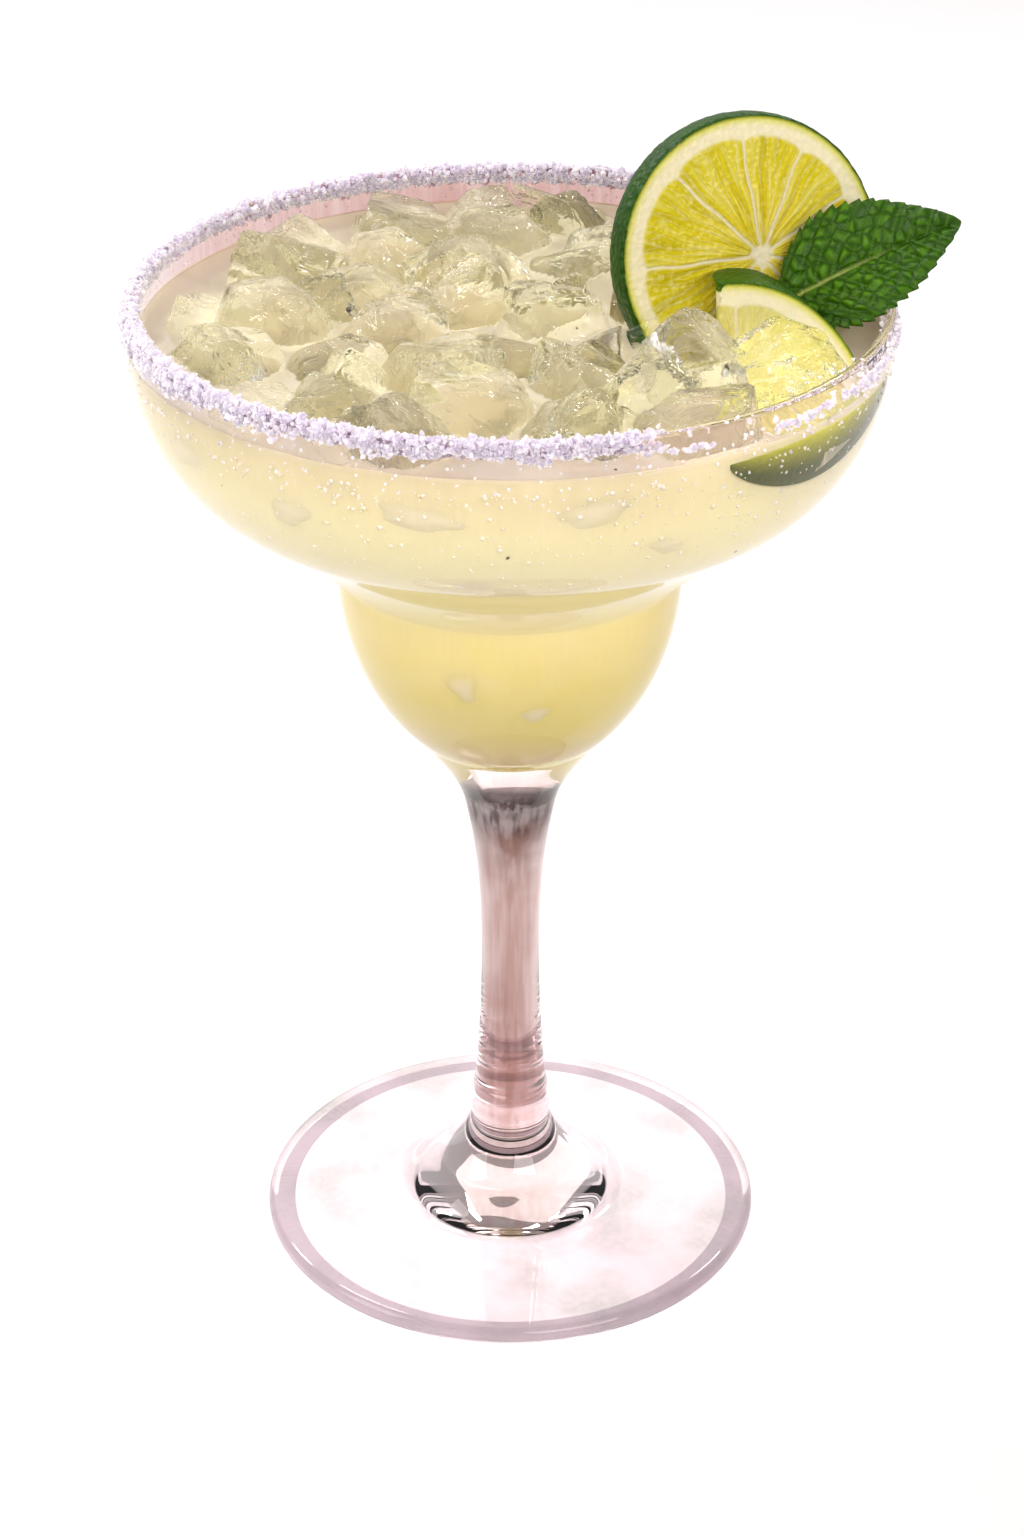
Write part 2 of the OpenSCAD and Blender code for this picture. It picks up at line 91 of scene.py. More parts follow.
# Soft lamps: name, place in metres, width, height, watts, colour. All shine at AIM.
AIM = (0, 0, 0.12)
LAMPS = (
    ("window_lamp", (-0.15, 0.95, 0.8), 1.3, 0.7, 2.8, "#FFFBFA"),
    ("top_lamp", (-0.28, 0.3, 0.75), 0.16, 0.22, 1.5, "#FFFFFF"),
    ("side_lamp", (-0.8, -0.35, 0.6), 0.5, 0.6, 3.4, "#FFFAFA"),
    ("front_lamp", (0.5, -0.9, 0.7), 0.8, 0.5, 6.2, "#FFF8F8"),
    ("sparkle_left", (-0.5, 0.45, 0.6), 0.07, 0.12, 1.2, "#FFFFFF"),
    ("sparkle_right", (0.35, 0.55, 0.7), 0.07, 0.12, 1.2, "#FFFFFF"),
)
CAMERA_PLACE = (0.00028, -0.5062, 0.3630)
CAMERA_TILT = math.radians(61.27)
CAMERA_LENS = 83.02


# ---- Sizes and colours that a user would change ----


def linear(hex_colour):
    """An sRGB hex colour as linear red, green, blue and alpha."""
    srgb = np.array([int(hex_colour[k : k + 2], 16) / 255 for k in (1, 3, 5)])
    rgb = np.where(srgb <= 0.04045, srgb / 12.92, ((srgb + 0.055) / 1.055) ** 2.4)
    return (*rgb.tolist(), 1.0)


def length(name, mm, text):
    """A length property, given in millimetres."""
    return bpy.props.FloatProperty(name=name, description=text, default=mm * MM, unit="LENGTH", precision=5)


def angle(name, degrees, text):
    """An angle property, given in degrees."""
    turn = math.radians(degrees)
    return bpy.props.FloatProperty(name=name, description=text, default=turn, unit="ROTATION")


def number(name, value, text):
    """A whole number property."""
    return bpy.props.IntProperty(name=name, description=text, default=value, min=0)


def tint(name, hex_colour, text):
    """A colour property, given as sRGB hex."""
    return bpy.props.FloatVectorProperty(
        name=name, description=text, default=linear(hex_colour)[:3], size=3, subtype="COLOR", min=0, max=1
    )


class MargaritaGlass(bpy.types.PropertyGroup):
    rim_d: length("Lip", 116.8, "Outer diameter of the lip")
    lip_h: length("Lip wall", 4.7, "Height of the straight wall under the lip")
    bowl_round_h: length("Bowl round height", 27.1, "Height of the wide bowl's rounded side")
    bowl_round_w: length("Bowl round width", 20.6, "How far the rounded side comes in from the lip")
    step_h: length("Step", 13.6, "Height of the step between the cup and the wide bowl")
    cup_d: length("Cup", 54.7, "Outer diameter of the cup")
    cup_round_h: length("Cup depth", 36.0, "Depth of the cup's rounded part")
    cup_flare_h: length("Cup flare", 13.0, "Height of the flare between the cup and the stem")
    wall: length("Wall", 1.6, "Thickness of the bowl's wall")
    cup_floor_h: length("Cup floor", 16.6, "Solid glass between the stem and the inside of the cup")
    stem_top_z: length("Stem top", 80.4, "Height of the stem's top end")
    waist_z: length("Waist height", 50.4, "Height of the stem's narrowest place")
    stem_low_z: length("Stem low end", 20.0, "Height of the stem's low end")
    waist_d: length("Waist", 9.7, "Diameter of the stem at its narrowest")
    stem_top_d: length("Stem top width", 15.0, "Diameter of the stem at its top end")
    stem_low_d: length("Stem low width", 12.8, "Diameter of the stem at its low end")
    foot_d: length("Foot", 84.0, "Outer diameter of the foot")
    foot_edge: length("Foot edge", 3.4, "Thickness of the foot's rounded edge")
    dome_d: length("Dome", 36.0, "Diameter of the dome in the middle of the foot")
    dome_z: length("Dome height", 5.2, "Height of the dome's lower edge")
    contact_w: length("Contact ring", 3.0, "Width of the ring the foot stands on")
    foot_hollow: length("Foot hollow", 1.2, "Hollow under the middle of the foot")
    drink_gap: length("Fill gap", 6.5, "Space between the drink's surface and the lip")


class MargaritaGarnish(bpy.types.PropertyGroup):
    wheel_d: length("Wheel", 42.0, "Diameter of the lime wheel")
    wheel_t: length("Wheel thickness", 5.6, "Thickness of the lime wheel")
    wheel_rise: length("Wheel rise", 4.2, "Height of the wheel's centre above the lip")
    wheel_az: angle("Wheel direction", 9, "Direction of the wheel's centre from the axis")
    wheel_turn: angle("Wheel turn", 20, "Direction in which the wheel's cut face runs")
    wheel_lean: angle("Wheel lean", 14, "How far the wheel leans back")
    slice_d: length("Slice", 38.0, "Diameter of the lime slice")
    slice_t: length("Slice thickness", 4.2, "Thickness of the lime slice")
    slice_drop: length("Slice depth", 6.2, "Depth of the slice's low edge under the surface")
    slice_az: angle("Slice direction", -31, "Direction of the slice's middle from the axis")
    slice_press: length("Slice press", 4.0, "How far the slice is pressed flat against the wall")
    slice_turn: angle("Slice turn", 88, "Direction in which the slice rises")
    slice_slope: angle("Slice slope", 15, "Slope of the slice's low side")
    slice_bend: angle("Slice bend", 72, "How much steeper the slice gets up to its top edge")
    slice_shift: length("Slice shift", 2.0, "How far the slice lies towards the middle of the glass")
    slice_cut: length("Slice cut", 2.9, "How far left of the slice's middle it is cut off")
    leaf_l: length("Leaf length", 29.6, "Length of the mint leaf")
    leaf_w: length("Leaf width", 19.6, "Width of the mint leaf")
    leaf_t: length("Leaf thickness", 0.6, "Thickness of the mint leaf")
    leaf_aside: length("Leaf aside", 5.0, "How far the leaf's base stands beside the slice's top")
    leaf_behind: length("Leaf behind", 3.3, "Space between the slice's back and the leaf's base")
    leaf_drop: length("Leaf drop", 6.4, "How far the leaf's base stands under the slice's top")
    leaf_turn: angle("Leaf turn", 5, "Direction in which the leaf points")
    leaf_rise: angle("Leaf rise", 25, "How steeply the leaf rises")
    leaf_roll: angle("Leaf roll", 44, "How far the leaf's upper side is turned to the front")
    salt_grains: number("Salt grains", 15000, "How many grains of salt lie on the lip")
    salt_size: length("Salt grain", 0.66, "Middle size of a grain of salt")
    bubbles: number("Bubbles", 1500, "How many fine bubbles sit at the wall")
    specks: number("Specks", 46, "How many dark specks of lime zest float in the drink")


class MargaritaColours(bpy.types.PropertyGroup):
    drink_pale: tint("Drink, bowl", "#F9F5BE", "Colour of the drink in the wide bowl")
    drink_deep: tint("Drink, cup", "#F1E680", "Colour of the drink deep in the cup")
    pith: tint("Lime pith", "#F1EAC2", "Colour of the lime's pith and membranes")
    # Painted shade in the mint leaf's hollows and painted light on its raised parts.
    leaf_dark: tint("Mint, dark", "#244C00", "Colour of the mint leaf's hollows")
    leaf_light: tint("Mint, light", "#568C00", "Colour of the mint leaf's raised parts")
    salt: tint("Salt", "#FCF7FC", "Colour of the salt")


# ---- Meshes ----


def read(group):
    """The sizes of a property group as plain numbers: lengths in millimetres, angles in radians."""
    values = SimpleNamespace()
    for prop in group.bl_rna.properties:
        if prop.identifier in ("rna_type", "name"):
            continue
        value = getattr(group, prop.identifier)
        values.__dict__[prop.identifier] = value / MM if getattr(prop, "unit", "") == "LENGTH" else value
    return values


def glass_sizes():
    """The glass's own sizes with the heights and radii that follow from them."""
    g = read(bpy.context.scene.margarita_glass)
    g.rim_r = g.rim_d / 2
    g.inner_r = g.rim_r - g.wall
    g.bowl_end = 77
    g.cup_end = 56
    g.cup_top_z = g.stem_top_z + g.cup_flare_h + g.cup_round_h * math.sin(math.radians(g.cup_end))
    g.bowl_mid_z = g.cup_top_z + g.step_h + g.bowl_round_h * math.sin(math.radians(g.bowl_end))
    g.glass_h = g.bowl_mid_z + g.lip_h
    g.floor_z = g.stem_top_z + g.cup_floor_h
    g.level_z = g.glass_h - g.drink_gap
    return g


def bowl_inner_r(g, z):
    """Inner radius of the wide bowl at height z: a quarter ellipse under a straight wall."""
    sunk = np.minimum(0, z - g.bowl_mid_z) / (g.bowl_round_h - g.wall)
    return g.rim_r - g.bowl_round_w + (g.bowl_round_w - g.wall) * np.sqrt(np.maximum(0, 1 - sunk**2))


def signed_volume(points, faces):
    """Volume of a closed mesh: the sum of the tetrahedra between the origin and each face's triangles."""
    total = 0.0
    for face in faces:
        for k in range(1, face.shape[1] - 1):
            a, b, c = points[face[:, 0]], points[face[:, k]], points[face[:, k + 1]]
            total += np.einsum("ij,ij->", a, np.cross(b, c)) / 6
    return total


def make_piece(name, points, faces, materials, face_material=None, values=None):
    """Writes points in millimetres and arrays of faces into a smooth mesh whose faces point outwards."""
    if signed_volume(points - points.mean(0), faces) < 0:
        faces = [face[:, ::-1] for face in faces]
    corners = np.concatenate([face.ravel() for face in faces]).astype(np.int32)
    counts = np.concatenate([np.full(len(face), face.shape[1]) for face in faces])
    mesh = bpy.data.meshes.new(name)
    mesh.vertices.add(len(points))
    mesh.vertices.foreach_set("co", (points * MM).astype(np.float32).ravel())
    mesh.loops.add(len(corners))
    mesh.loops.foreach_set("vertex_index", corners)
    mesh.polygons.add(len(counts))
    starts = np.concatenate([[0], np.cumsum(counts)[:-1]]).astype(np.int32)
    mesh.polygons.foreach_set("loop_start", starts)
    mesh.polygons.foreach_set("use_smooth", np.ones(len(counts), bool))
    for material in materials:
        mesh.materials.append(material)
    if face_material is not None:
        mesh.polygons.foreach_set("material_index", face_material.astype(np.int32))
    mesh.update(calc_edges=True)
    for key, value in (values or {}).items():
        value = np.asarray(value, np.float32)
        if value.ndim == 1:
            mesh.attributes.new(key, "FLOAT", "POINT").data.foreach_set("value", value)
        else:
            mesh.attributes.new(key, "FLOAT_VECTOR", "POINT").data.foreach_set("vector", value.ravel())
    piece = bpy.data.objects.new(name, mesh)
    bpy.context.scene.collection.objects.link(piece)
    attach(piece, BODY)
    return piece


def closed_skin(rings, first=None, last=None):
    """Points and faces of a skin over rings (rows by steps by 3); each end is drawn together in a point."""
    rows, steps = rings.shape[:2]
    index = np.arange(rows * steps).reshape(rows, steps)
    after = np.roll(index, -1, axis=1)
    points = [rings.reshape(-1, 3)]
    faces = [np.stack([index[:-1], after[:-1], after[1:], index[1:]], -1).reshape(-1, 4)]
    for row, tip, turned in ((0, first, False), (rows - 1, last, True)):
        if tip is None:
            continue
        tip_index = np.full(steps, sum(len(p) for p in points))
        fan = [tip_index, after[row], index[row]]
        faces.append(np.stack(fan[::-1] if turned else fan, -1))
        points.append(np.asarray(tip, float).reshape(1, 3))
    return np.concatenate(points), faces


def lathe(profile, steps):
    """A profile of (radius, height) turned about the axis; its first and last points lie on the axis."""
    turn = np.arange(steps) * TAU / steps
    ring = np.stack([np.cos(turn), np.sin(turn)], -1)
    body = profile[1:-1]
    rings = np.concatenate(
        [body[:, None, :1] * ring[None], np.repeat(body[:, None, 1:], steps, axis=1)], axis=-1
    )
    return closed_skin(rings, (0, 0, profile[0, 1]), (0, 0, profile[-1, 1]))


def scatter(points, faces, places, turns, sizes):
    """Copies of one small shape: each is stretched by its three sizes, turned by its matrix and moved."""
    copies = np.einsum("nij,nkj->nki", turns, points[None] * sizes[:, None]) + places[:, None]
    index = faces[None] + (np.arange(len(places)) * len(points))[:, None, None]
    return copies.reshape(-1, 3), [index.reshape(-1, faces.shape[1])]


def random_turns(rng, count):
    """Random turning matrices: the two random directions are made square, and the third is their cross."""
    a = rng.normal(size=(count, 3))
    a /= np.linalg.norm(a, axis=1, keepdims=True)
    b = np.cross(a, rng.normal(size=(count, 3)))
    b /= np.linalg.norm(b, axis=1, keepdims=True)
    return np.stack([a, b, np.cross(a, b)], -1)


def arc(cx, cz, rx, rz, start, end, steps):
    """Points of an arc of an ellipse: the centre plus the radii times cosine and sine, from start to end."""
    a = np.radians(np.linspace(start, end, steps + 1))
    return np.stack([cx + rx * np.cos(a), cz + rz * np.sin(a)], -1)


def bezier(p0, p1, p2, p3, steps):
    """Points of a cubic Bezier curve: its four points weighted by the cubic Bernstein terms."""
    t = np.linspace(0, 1, steps + 1)[:, None]
    u = 1 - t
    p0, p1, p2, p3 = (np.asarray(p, float) for p in (p0, p1, p2, p3))
    return u**3 * p0 + 3 * u**2 * t * p1 + 3 * u * t**2 * p2 + t**3 * p3


def join(*parts):
    """Puts curves end to end, leaving out the points that repeat."""
    line = np.concatenate([np.atleast_2d(np.asarray(part, float)) for part in parts])
    keep = np.concatenate([[True], np.linalg.norm(np.diff(line, axis=0), axis=1) > 1e-4])
    return line[keep]


def waves(points, size, seed, octaves=2):
    """A soft random field near -1 to 1: sums of sines along random directions, size millimetres apart."""
    rng = np.random.default_rng(seed)
    total = np.zeros(points.shape[:-1])
    for octave in range(octaves):
        for _ in range(5):
            direction = rng.normal(size=3)
            direction *= TAU * 2**octave / size / np.linalg.norm(direction)
            total += np.sin(points @ direction + rng.uniform(0, TAU)) / 2**octave
    return total / 5


# ---- Material helpers ----


def add_node(tree, kind, inputs=None, stops=None, **settings):
    """Adds a node with its settings; an input is a number, a colour or a socket to link from."""
    made = tree.nodes.new(kind)
    for key, value in settings.items():
        setattr(made, key, value)
    if stops:
        ramp = made.color_ramp
        while len(ramp.elements) < len(stops):
            ramp.elements.new(1.0)
        for element, (place, colour) in zip(ramp.elements, stops):
            element.position = place
            element.color = linear(colour) if isinstance(colour, str) else (*tuple(colour)[:3], 1.0)
    for key, value in (inputs or {}).items():
        if isinstance(value, bpy.types.NodeSocket):
            tree.links.new(value, made.inputs[key])
        else:
            made.inputs[key].default_value = value
    return made


def new_material(name):
    """An empty node material, its tree and its output node."""
    material = bpy.data.materials.new(name)
    material.use_nodes = True
    tree = material.node_tree
    tree.nodes.clear()
    return material, tree, add_node(tree, "ShaderNodeOutputMaterial")


def per_mm(size):
    """Scale of a pattern on Object coordinates whose cells are size millimetres wide."""
    return 1 / (size * MM)


def mixed(tree, factor, a, b, blend="MIX"):
    """A colour between a and b by a factor."""
    sources = {"Factor": factor, "A": a, "B": b}
    made = add_node(tree, "ShaderNodeMix", data_type="RGBA", blend_type=blend)
    for key, value in sources.items():
        socket = next(s for s in made.inputs if s.name == key and (s.type == "RGBA" or key == "Factor"))
        if isinstance(value, bpy.types.NodeSocket):
            tree.links.new(value, socket)
        elif key == "Factor":
            socket.default_value = value
        else:
            socket.default_value = linear(value) if isinstance(value, str) else (*tuple(value)[:3], 1.0)
    return next(s for s in made.outputs if s.type == "RGBA")


def ranged(tree, value, low, high, start=0.0, end=1.0):
    """The value carried from low..high to start..end, and held at both ends."""
    sockets = {"Value": value, "From Min": low, "From Max": high, "To Min": start, "To Max": end}
    return add_node(tree, "ShaderNodeMapRange", sockets).outputs[0]


def ramp(tree, value, stops):
    """The colour that the value picks from stops."""
    return add_node(tree, "ShaderNodeValToRGB", {0: value}, stops=stops).outputs[0]


def noise(tree, vector, scale, detail=2.0, distortion=0.0):
    """Soft noise of a given scale."""
    sockets = {"Vector": vector, "Scale": scale, "Detail": detail, "Distortion": distortion}
    return add_node(tree, "ShaderNodeTexNoise", sockets).outputs[0]


def maths(tree, operation, a, b):
    """Two values joined by a Math node."""
    return add_node(tree, "ShaderNodeMath", {0: a, 1: b}, operation=operation).outputs[0]


def bumps(tree, height, strength, distance):
    """A normal tilted by the slopes of a height, distance high in metres."""
    sockets = {"Height": height, "Strength": strength, "Distance": distance}
    return add_node(tree, "ShaderNodeBump", sockets).outputs[0]


def field(tree, key, socket="Fac"):
    """A value that the mesh keeps at each point."""
    return add_node(tree, "ShaderNodeAttribute", attribute_name=key).outputs[socket]


def lets_lamps_through(tree, output, surface, shade):
    """Shows the surface, but lets lamp light through it, dimmed by shade, for a soft shadow."""
    rays = add_node(tree, "ShaderNodeLightPath")
    clear = add_node(tree, "ShaderNodeBsdfTransparent", {"Color": shade})
    both = add_node(
        tree, "ShaderNodeMixShader", {0: rays.outputs["Is Shadow Ray"], 1: surface, 2: clear.outputs[0]}
    )
    tree.links.new(both.outputs[0], output.inputs["Surface"])


# ---- Glass ----


def cup_and_bowl_inside(g):
    """Inside of the bowl and the cup: a quarter ellipse under the lip, then another down to the axis."""
    return join(
        arc(g.rim_r - g.bowl_round_w, g.bowl_mid_z, g.bowl_round_w - g.wall, g.bowl_round_h - g.wall, 0,
            -g.bowl_end, 44),
        arc(0, g.cup_top_z + g.wall / 2, g.cup_d / 2 - g.wall, g.cup_top_z + g.wall / 2 - g.floor_z,
            0, -90, 44),
    )


def glass_profile(g):
    """The whole outline of the glass, from under the foot round the lip and down to the cup's floor."""
    foot_r = g.foot_d / 2
    edge = g.foot_edge / 2
    dome_r = g.dome_d / 2
    low_r = g.stem_low_d / 2
    waist_r = g.waist_d / 2
    top_r = g.stem_top_d / 2
    cup_r = g.cup_d / 2
    end = math.radians(g.cup_end)
    meet = np.array([cup_r * math.cos(end), g.cup_top_z - g.cup_round_h * math.sin(end)])
    dome = (dome_r - 5, g.dome_z + 4.2)
    under = np.linspace((0, g.foot_hollow), (foot_r - edge - g.contact_w, 0), 12)
    outside = join(
        under,
        arc(foot_r - edge, edge, edge, edge, -90, 90, 24),
        np.linspace((foot_r - edge, g.foot_edge), (dome_r + 2, g.dome_z - 0.5), 30),
        bezier((dome_r + 2, g.dome_z - 0.5), (dome_r - 1, g.dome_z), (dome_r - 1.5, g.dome_z + 2), dome, 24),
        bezier(dome, (dome_r - 8.5, g.dome_z + 6.4), (low_r + 0.6, g.stem_low_z - 4),
               (low_r, g.stem_low_z), 24),
        bezier((low_r, g.stem_low_z), (low_r - 0.6, g.stem_low_z + 10), (waist_r, g.waist_z - 12),
               (waist_r, g.waist_z), 50),
        bezier((waist_r, g.waist_z), (waist_r, g.waist_z + 12), (top_r - 2.2, g.stem_top_z - 10),
               (top_r, g.stem_top_z), 40),
        bezier((top_r, g.stem_top_z), (top_r + 1.1, g.stem_top_z + 4.8), meet - (3.2, 4.2), meet, 24),
        arc(0, g.cup_top_z, cup_r, g.cup_round_h, -g.cup_end, 0, 40),
        arc(g.rim_r - g.bowl_round_w, g.bowl_mid_z, g.bowl_round_w, g.bowl_round_h, -g.bowl_end, 0, 44),
    )
    # Rings left by joining the stem to the foot stand a little proud.
    for height, proud in ((35, 0.05), (29, 0.08), (24.6, 0.22), (20.4, 0.26)):
        outside[:, 0] += np.where(
            outside[:, 0] < 12, proud * np.exp(-(((outside[:, 1] - height) / 0.8) ** 2)), 0
        )
    lip = arc(g.rim_r - g.wall / 2, g.glass_h - g.wall / 2, g.wall / 2, g.wall / 2, 0, 180, 16)
    return join(outside, lip, cup_and_bowl_inside(g))


def pressed_glass():
    """Soda-lime glass, pressed and fire polished: clear, with painted rosy mauve reflections of its
    surroundings in the stem and the flare.
    """
    material, tree, output = new_material("soda_lime_glass_pressed")
    place = add_node(tree, "ShaderNodeTexCoord").outputs["Object"]
    height = add_node(tree, "ShaderNodeSeparateXYZ", {0: place}).outputs["Z"]
    along = ranged(tree, height, 0, 0.17)
    # Painted reflection: the stem shows the rosy brown surroundings and the flare is painted dark; the foot
    # and the lip are nearly clear.
    tint_and_reflections = ramp(tree, along, GLASS_TINT_AND_PAINTED_REFLECTIONS)
    # Painted reflection: the far side of the glass above the drink takes a rosy brown cast.
    far = add_node(tree, "ShaderNodeSeparateXYZ", {0: place}).outputs["Y"]
    far = ranged(tree, far, 0.0, 0.03)
    high = ranged(tree, height, 0.1575, 0.1605)
    far_side = maths(tree, "MULTIPLY", far, high)
    tint_and_reflections = mixed(tree, far_side, tint_and_reflections, "#C49C97")
    # Painted reflection: a pale grey marbled table shows through the foot.
    marble_noise = noise(tree, place, per_mm(13), detail=4.0)
    low = ranged(tree, height, 0.006, 0.004)
    painted_marble = ranged(tree, marble_noise, 0.45, 0.66)
    painted_marble = maths(tree, "MULTIPLY", painted_marble, low)
    tint_and_reflections = mixed(tree, painted_marble, tint_and_reflections, "#C9CCC8")
    # Painted reflection: long upright pale streaks of the surroundings in the glass.
    streaks = add_node(
        tree, "ShaderNodeMapping", {"Vector": place, "Scale": (per_mm(1.1), per_mm(1.1), per_mm(17))}
    ).outputs[0]
    drawn = noise(tree, streaks, 1.0, detail=3.0)
    with_painted_streaks = mixed(tree, ranged(tree, drawn, 0.42, 0.62, end=0.3), tint_and_reflections, "#F2E4E2")
    facing = add_node(tree, "ShaderNodeLayerWeight", {"Blend": 0.42}).outputs["Facing"]
    # The flare under the cup and the foot keep their painted reflection where they are seen at a low angle.
    flare = ramp(tree, along, PALE_EDGES)
    facing = maths(tree, "MULTIPLY", facing, flare)
    body = mixed(tree, facing, with_painted_streaks, "#FBF5F8")
    shader = add_node(
        tree, "ShaderNodeBsdfPrincipled",
        {"Base Color": body, "Roughness": 0.0, "IOR": 1.5, "Transmission Weight": 1.0},
    )
    lets_lamps_through(tree, output, shader.outputs[0], linear("#F1E9EE"))
    return material


def build_glass():
    """Turns the glass's outline about the axis."""
    g = glass_sizes()
    points, faces = lathe(glass_profile(g), GLASS_STEPS)
    piece = make_piece("margarita_glass", points, faces, [pressed_glass()])
    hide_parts("glass")


# ---- Ice shapes, which the drink's surface follows too ----


def flat_sides(node):
    """Outward directions and distances from the origin of a CAD piece's flat sides, and its middle."""
    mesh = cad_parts[node].data
    mesh.calc_loop_triangles()
    points = np.empty(len(mesh.vertices) * 3)
    mesh.vertices.foreach_get("co", points)
    points = points.reshape(-1, 3) / MM
    corners = np.empty(len(mesh.loop_triangles) * 3, np.int32)
    mesh.loop_triangles.foreach_get("vertices", corners)
    a, b, c = (points[corners[k::3]] for k in range(3))
    cross = np.cross(b - a, c - a)
    area = np.linalg.norm(cross, axis=1) / 2
    middle = ((a + b + c) / 3 * area[:, None]).sum(0) / area.sum()
    order = np.argsort(-area)
    directions = []
    distances = []
    for k in order:
        if area[k] < 0.3:
            break
        normal = cross[k] / (2 * area[k])
        if all(normal @ other < math.cos(math.radians(9)) for other in directions):
            directions.append(normal)
            distances.append(normal @ a[k])
    return np.array(directions), np.array(distances), middle


def ice_shape(node, seed, rows=44, steps=80):
    """A melted lump: along each direction u its reach is the p-norm of n.u/d over its flat sides, waved."""
    normals, distances, middle = flat_sides(node)
    near = np.maximum(distances - normals @ middle, 0.8)
    lat = (np.arange(1, rows) / rows * math.pi)[:, None]
    lon = (np.arange(steps) / steps * TAU)[None]
    u = np.stack([np.sin(lat) * np.cos(lon), np.sin(lat) * np.sin(lon), np.cos(lat) + 0 * lon], -1)
    ends = np.array([[[0, 0, 1.0]], [[0, 0, -1.0]]])
    rounding = 38

    def reach(direction):
        share = np.maximum(0, direction @ normals.T / near)
        r = (share**rounding).sum(-1) ** (-1 / rounding)
        spot = middle + direction * r[..., None]
        return spot - direction * (0.28 * waves(spot, 6.5, seed) - 0.05)[..., None]

    return closed_skin(reach(u), reach(ends[0])[0], reach(ends[1])[0])


def loose_ice(at, size, turn, seed, rows=30, steps=54):
    """A small melted chunk: a box of the three sizes with softened edges, tilted, turned and waved."""
    rng = np.random.default_rng(seed)
    lat = (np.arange(1, rows) / rows * math.pi)[:, None]
    lon = (np.arange(steps) / steps * TAU)[None]
    u = np.stack([np.sin(lat) * np.cos(lon), np.sin(lat) * np.sin(lon), np.cos(lat) + 0 * lon], -1)
    matrix = rotation("z", turn) @ rotation("x", rng.uniform(-0.7, 0.7))
    matrix = matrix @ rotation("y", rng.uniform(-0.7, 0.7))
    corners = rng.normal(size=(4, 3))
    corners /= np.linalg.norm(corners, axis=1, keepdims=True)
    normals = np.concatenate([np.eye(3), -np.eye(3), corners])
    near = np.concatenate([np.asarray(size) / 2, np.asarray(size) / 2, np.full(4, max(size) * 0.52)])

    def reach(direction):
        share = np.maximum(0, direction @ normals.T / near)
        r = (share**22).sum(-1) ** (-1 / 22)
        spot = direction * r[..., None]
        return (spot - direction * (0.22 * waves(spot, 5, seed))[..., None]) @ matrix.T + at

    ends = np.array([[0, 0, 1.0], [0, 0, -1.0]])
    return closed_skin(reach(u), reach(ends[0]), reach(ends[1]))


def melting_ice():
    """Clear ice, half melted: wet and glossy outside, with cloudy patches of trapped air."""
    material, tree, output = new_material("clear_ice_melting")
    place = add_node(tree, "ShaderNodeTexCoord").outputs["Object"]
    patches = noise(tree, place, per_mm(9), detail=2.0, distortion=0.6)
    cloudy = ranged(tree, patches, 0.5, 0.7, start=0.015, end=0.3)
    dents = noise(tree, place, per_mm(5), detail=3.0, distortion=0.8)
    relief = bumps(tree, dents, 0.85, 0.0022)
    shader = add_node(
        tree, "ShaderNodeBsdfPrincipled",
        {"Base Color": linear("#FAFBF4"), "Roughness": cloudy, "IOR": 1.31, "Transmission Weight": 1.0,
         "Normal": relief},
    )
    lets_lamps_through(tree, output, shader.outputs[0], linear("#F2F2EC"))
    return material


def build_ice():
    """Makes one melted lump for every CAD piece of ice."""
    look = melting_ice()
    for seed, node in enumerate(ICE_NODES):
        points, faces = ice_shape(node, 40 + seed)
        piece = make_piece("melted_" + node, points, faces, [look])
        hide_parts(node)
    g = glass_sizes()
    rng = np.random.default_rng(77)
    for k, (x, y, lift, size) in enumerate(SMALL_ICE):
        at = np.array([x, y, g.level_z + lift])
        sizes = size * np.array([1.0, rng.uniform(0.7, 0.95), rng.uniform(0.55, 0.8)])
        points, faces = loose_ice(at, sizes, rng.uniform(0, TAU), 300 + k)
        make_piece(f"small_ice_{k + 1:02d}", points, faces, [look])


# ---- Drink ----


def slice_line(s, steps=400):
    """Middle line of the slice's cut face: distances along the ground and heights, summed from its slope."""
    b = np.linspace(0, s.slice_d, steps + 1)
    mid = (b[1:] + b[:-1]) / 2
    slope = s.slice_slope + s.slice_bend * (mid / s.slice_d) ** 4
    step = np.stack([np.cos(slope), np.sin(slope)], -1) * (b[1] - b[0])
    return b, np.concatenate([[[0, 0]], np.cumsum(step, axis=0)])


def slice_place(g, s):
    """Where the slice's low edge is, and the direction along the ground in which it rises."""
    b, line = slice_line(s)
    up = np.array([math.cos(s.slice_turn), math.sin(s.slice_turn)])
    out = bowl_inner_r(g, g.level_z - s.slice_drop / 2) - s.slice_d / 2 + s.slice_press
    middle = np.array([np.interp(s.slice_d / 2, b, line[:, k]) for k in range(2)])
    ground = out * np.array([math.cos(s.slice_az), math.sin(s.slice_az)]) - middle[0] * up
    return np.array([*ground, g.level_z - s.slice_drop]), up, b, line


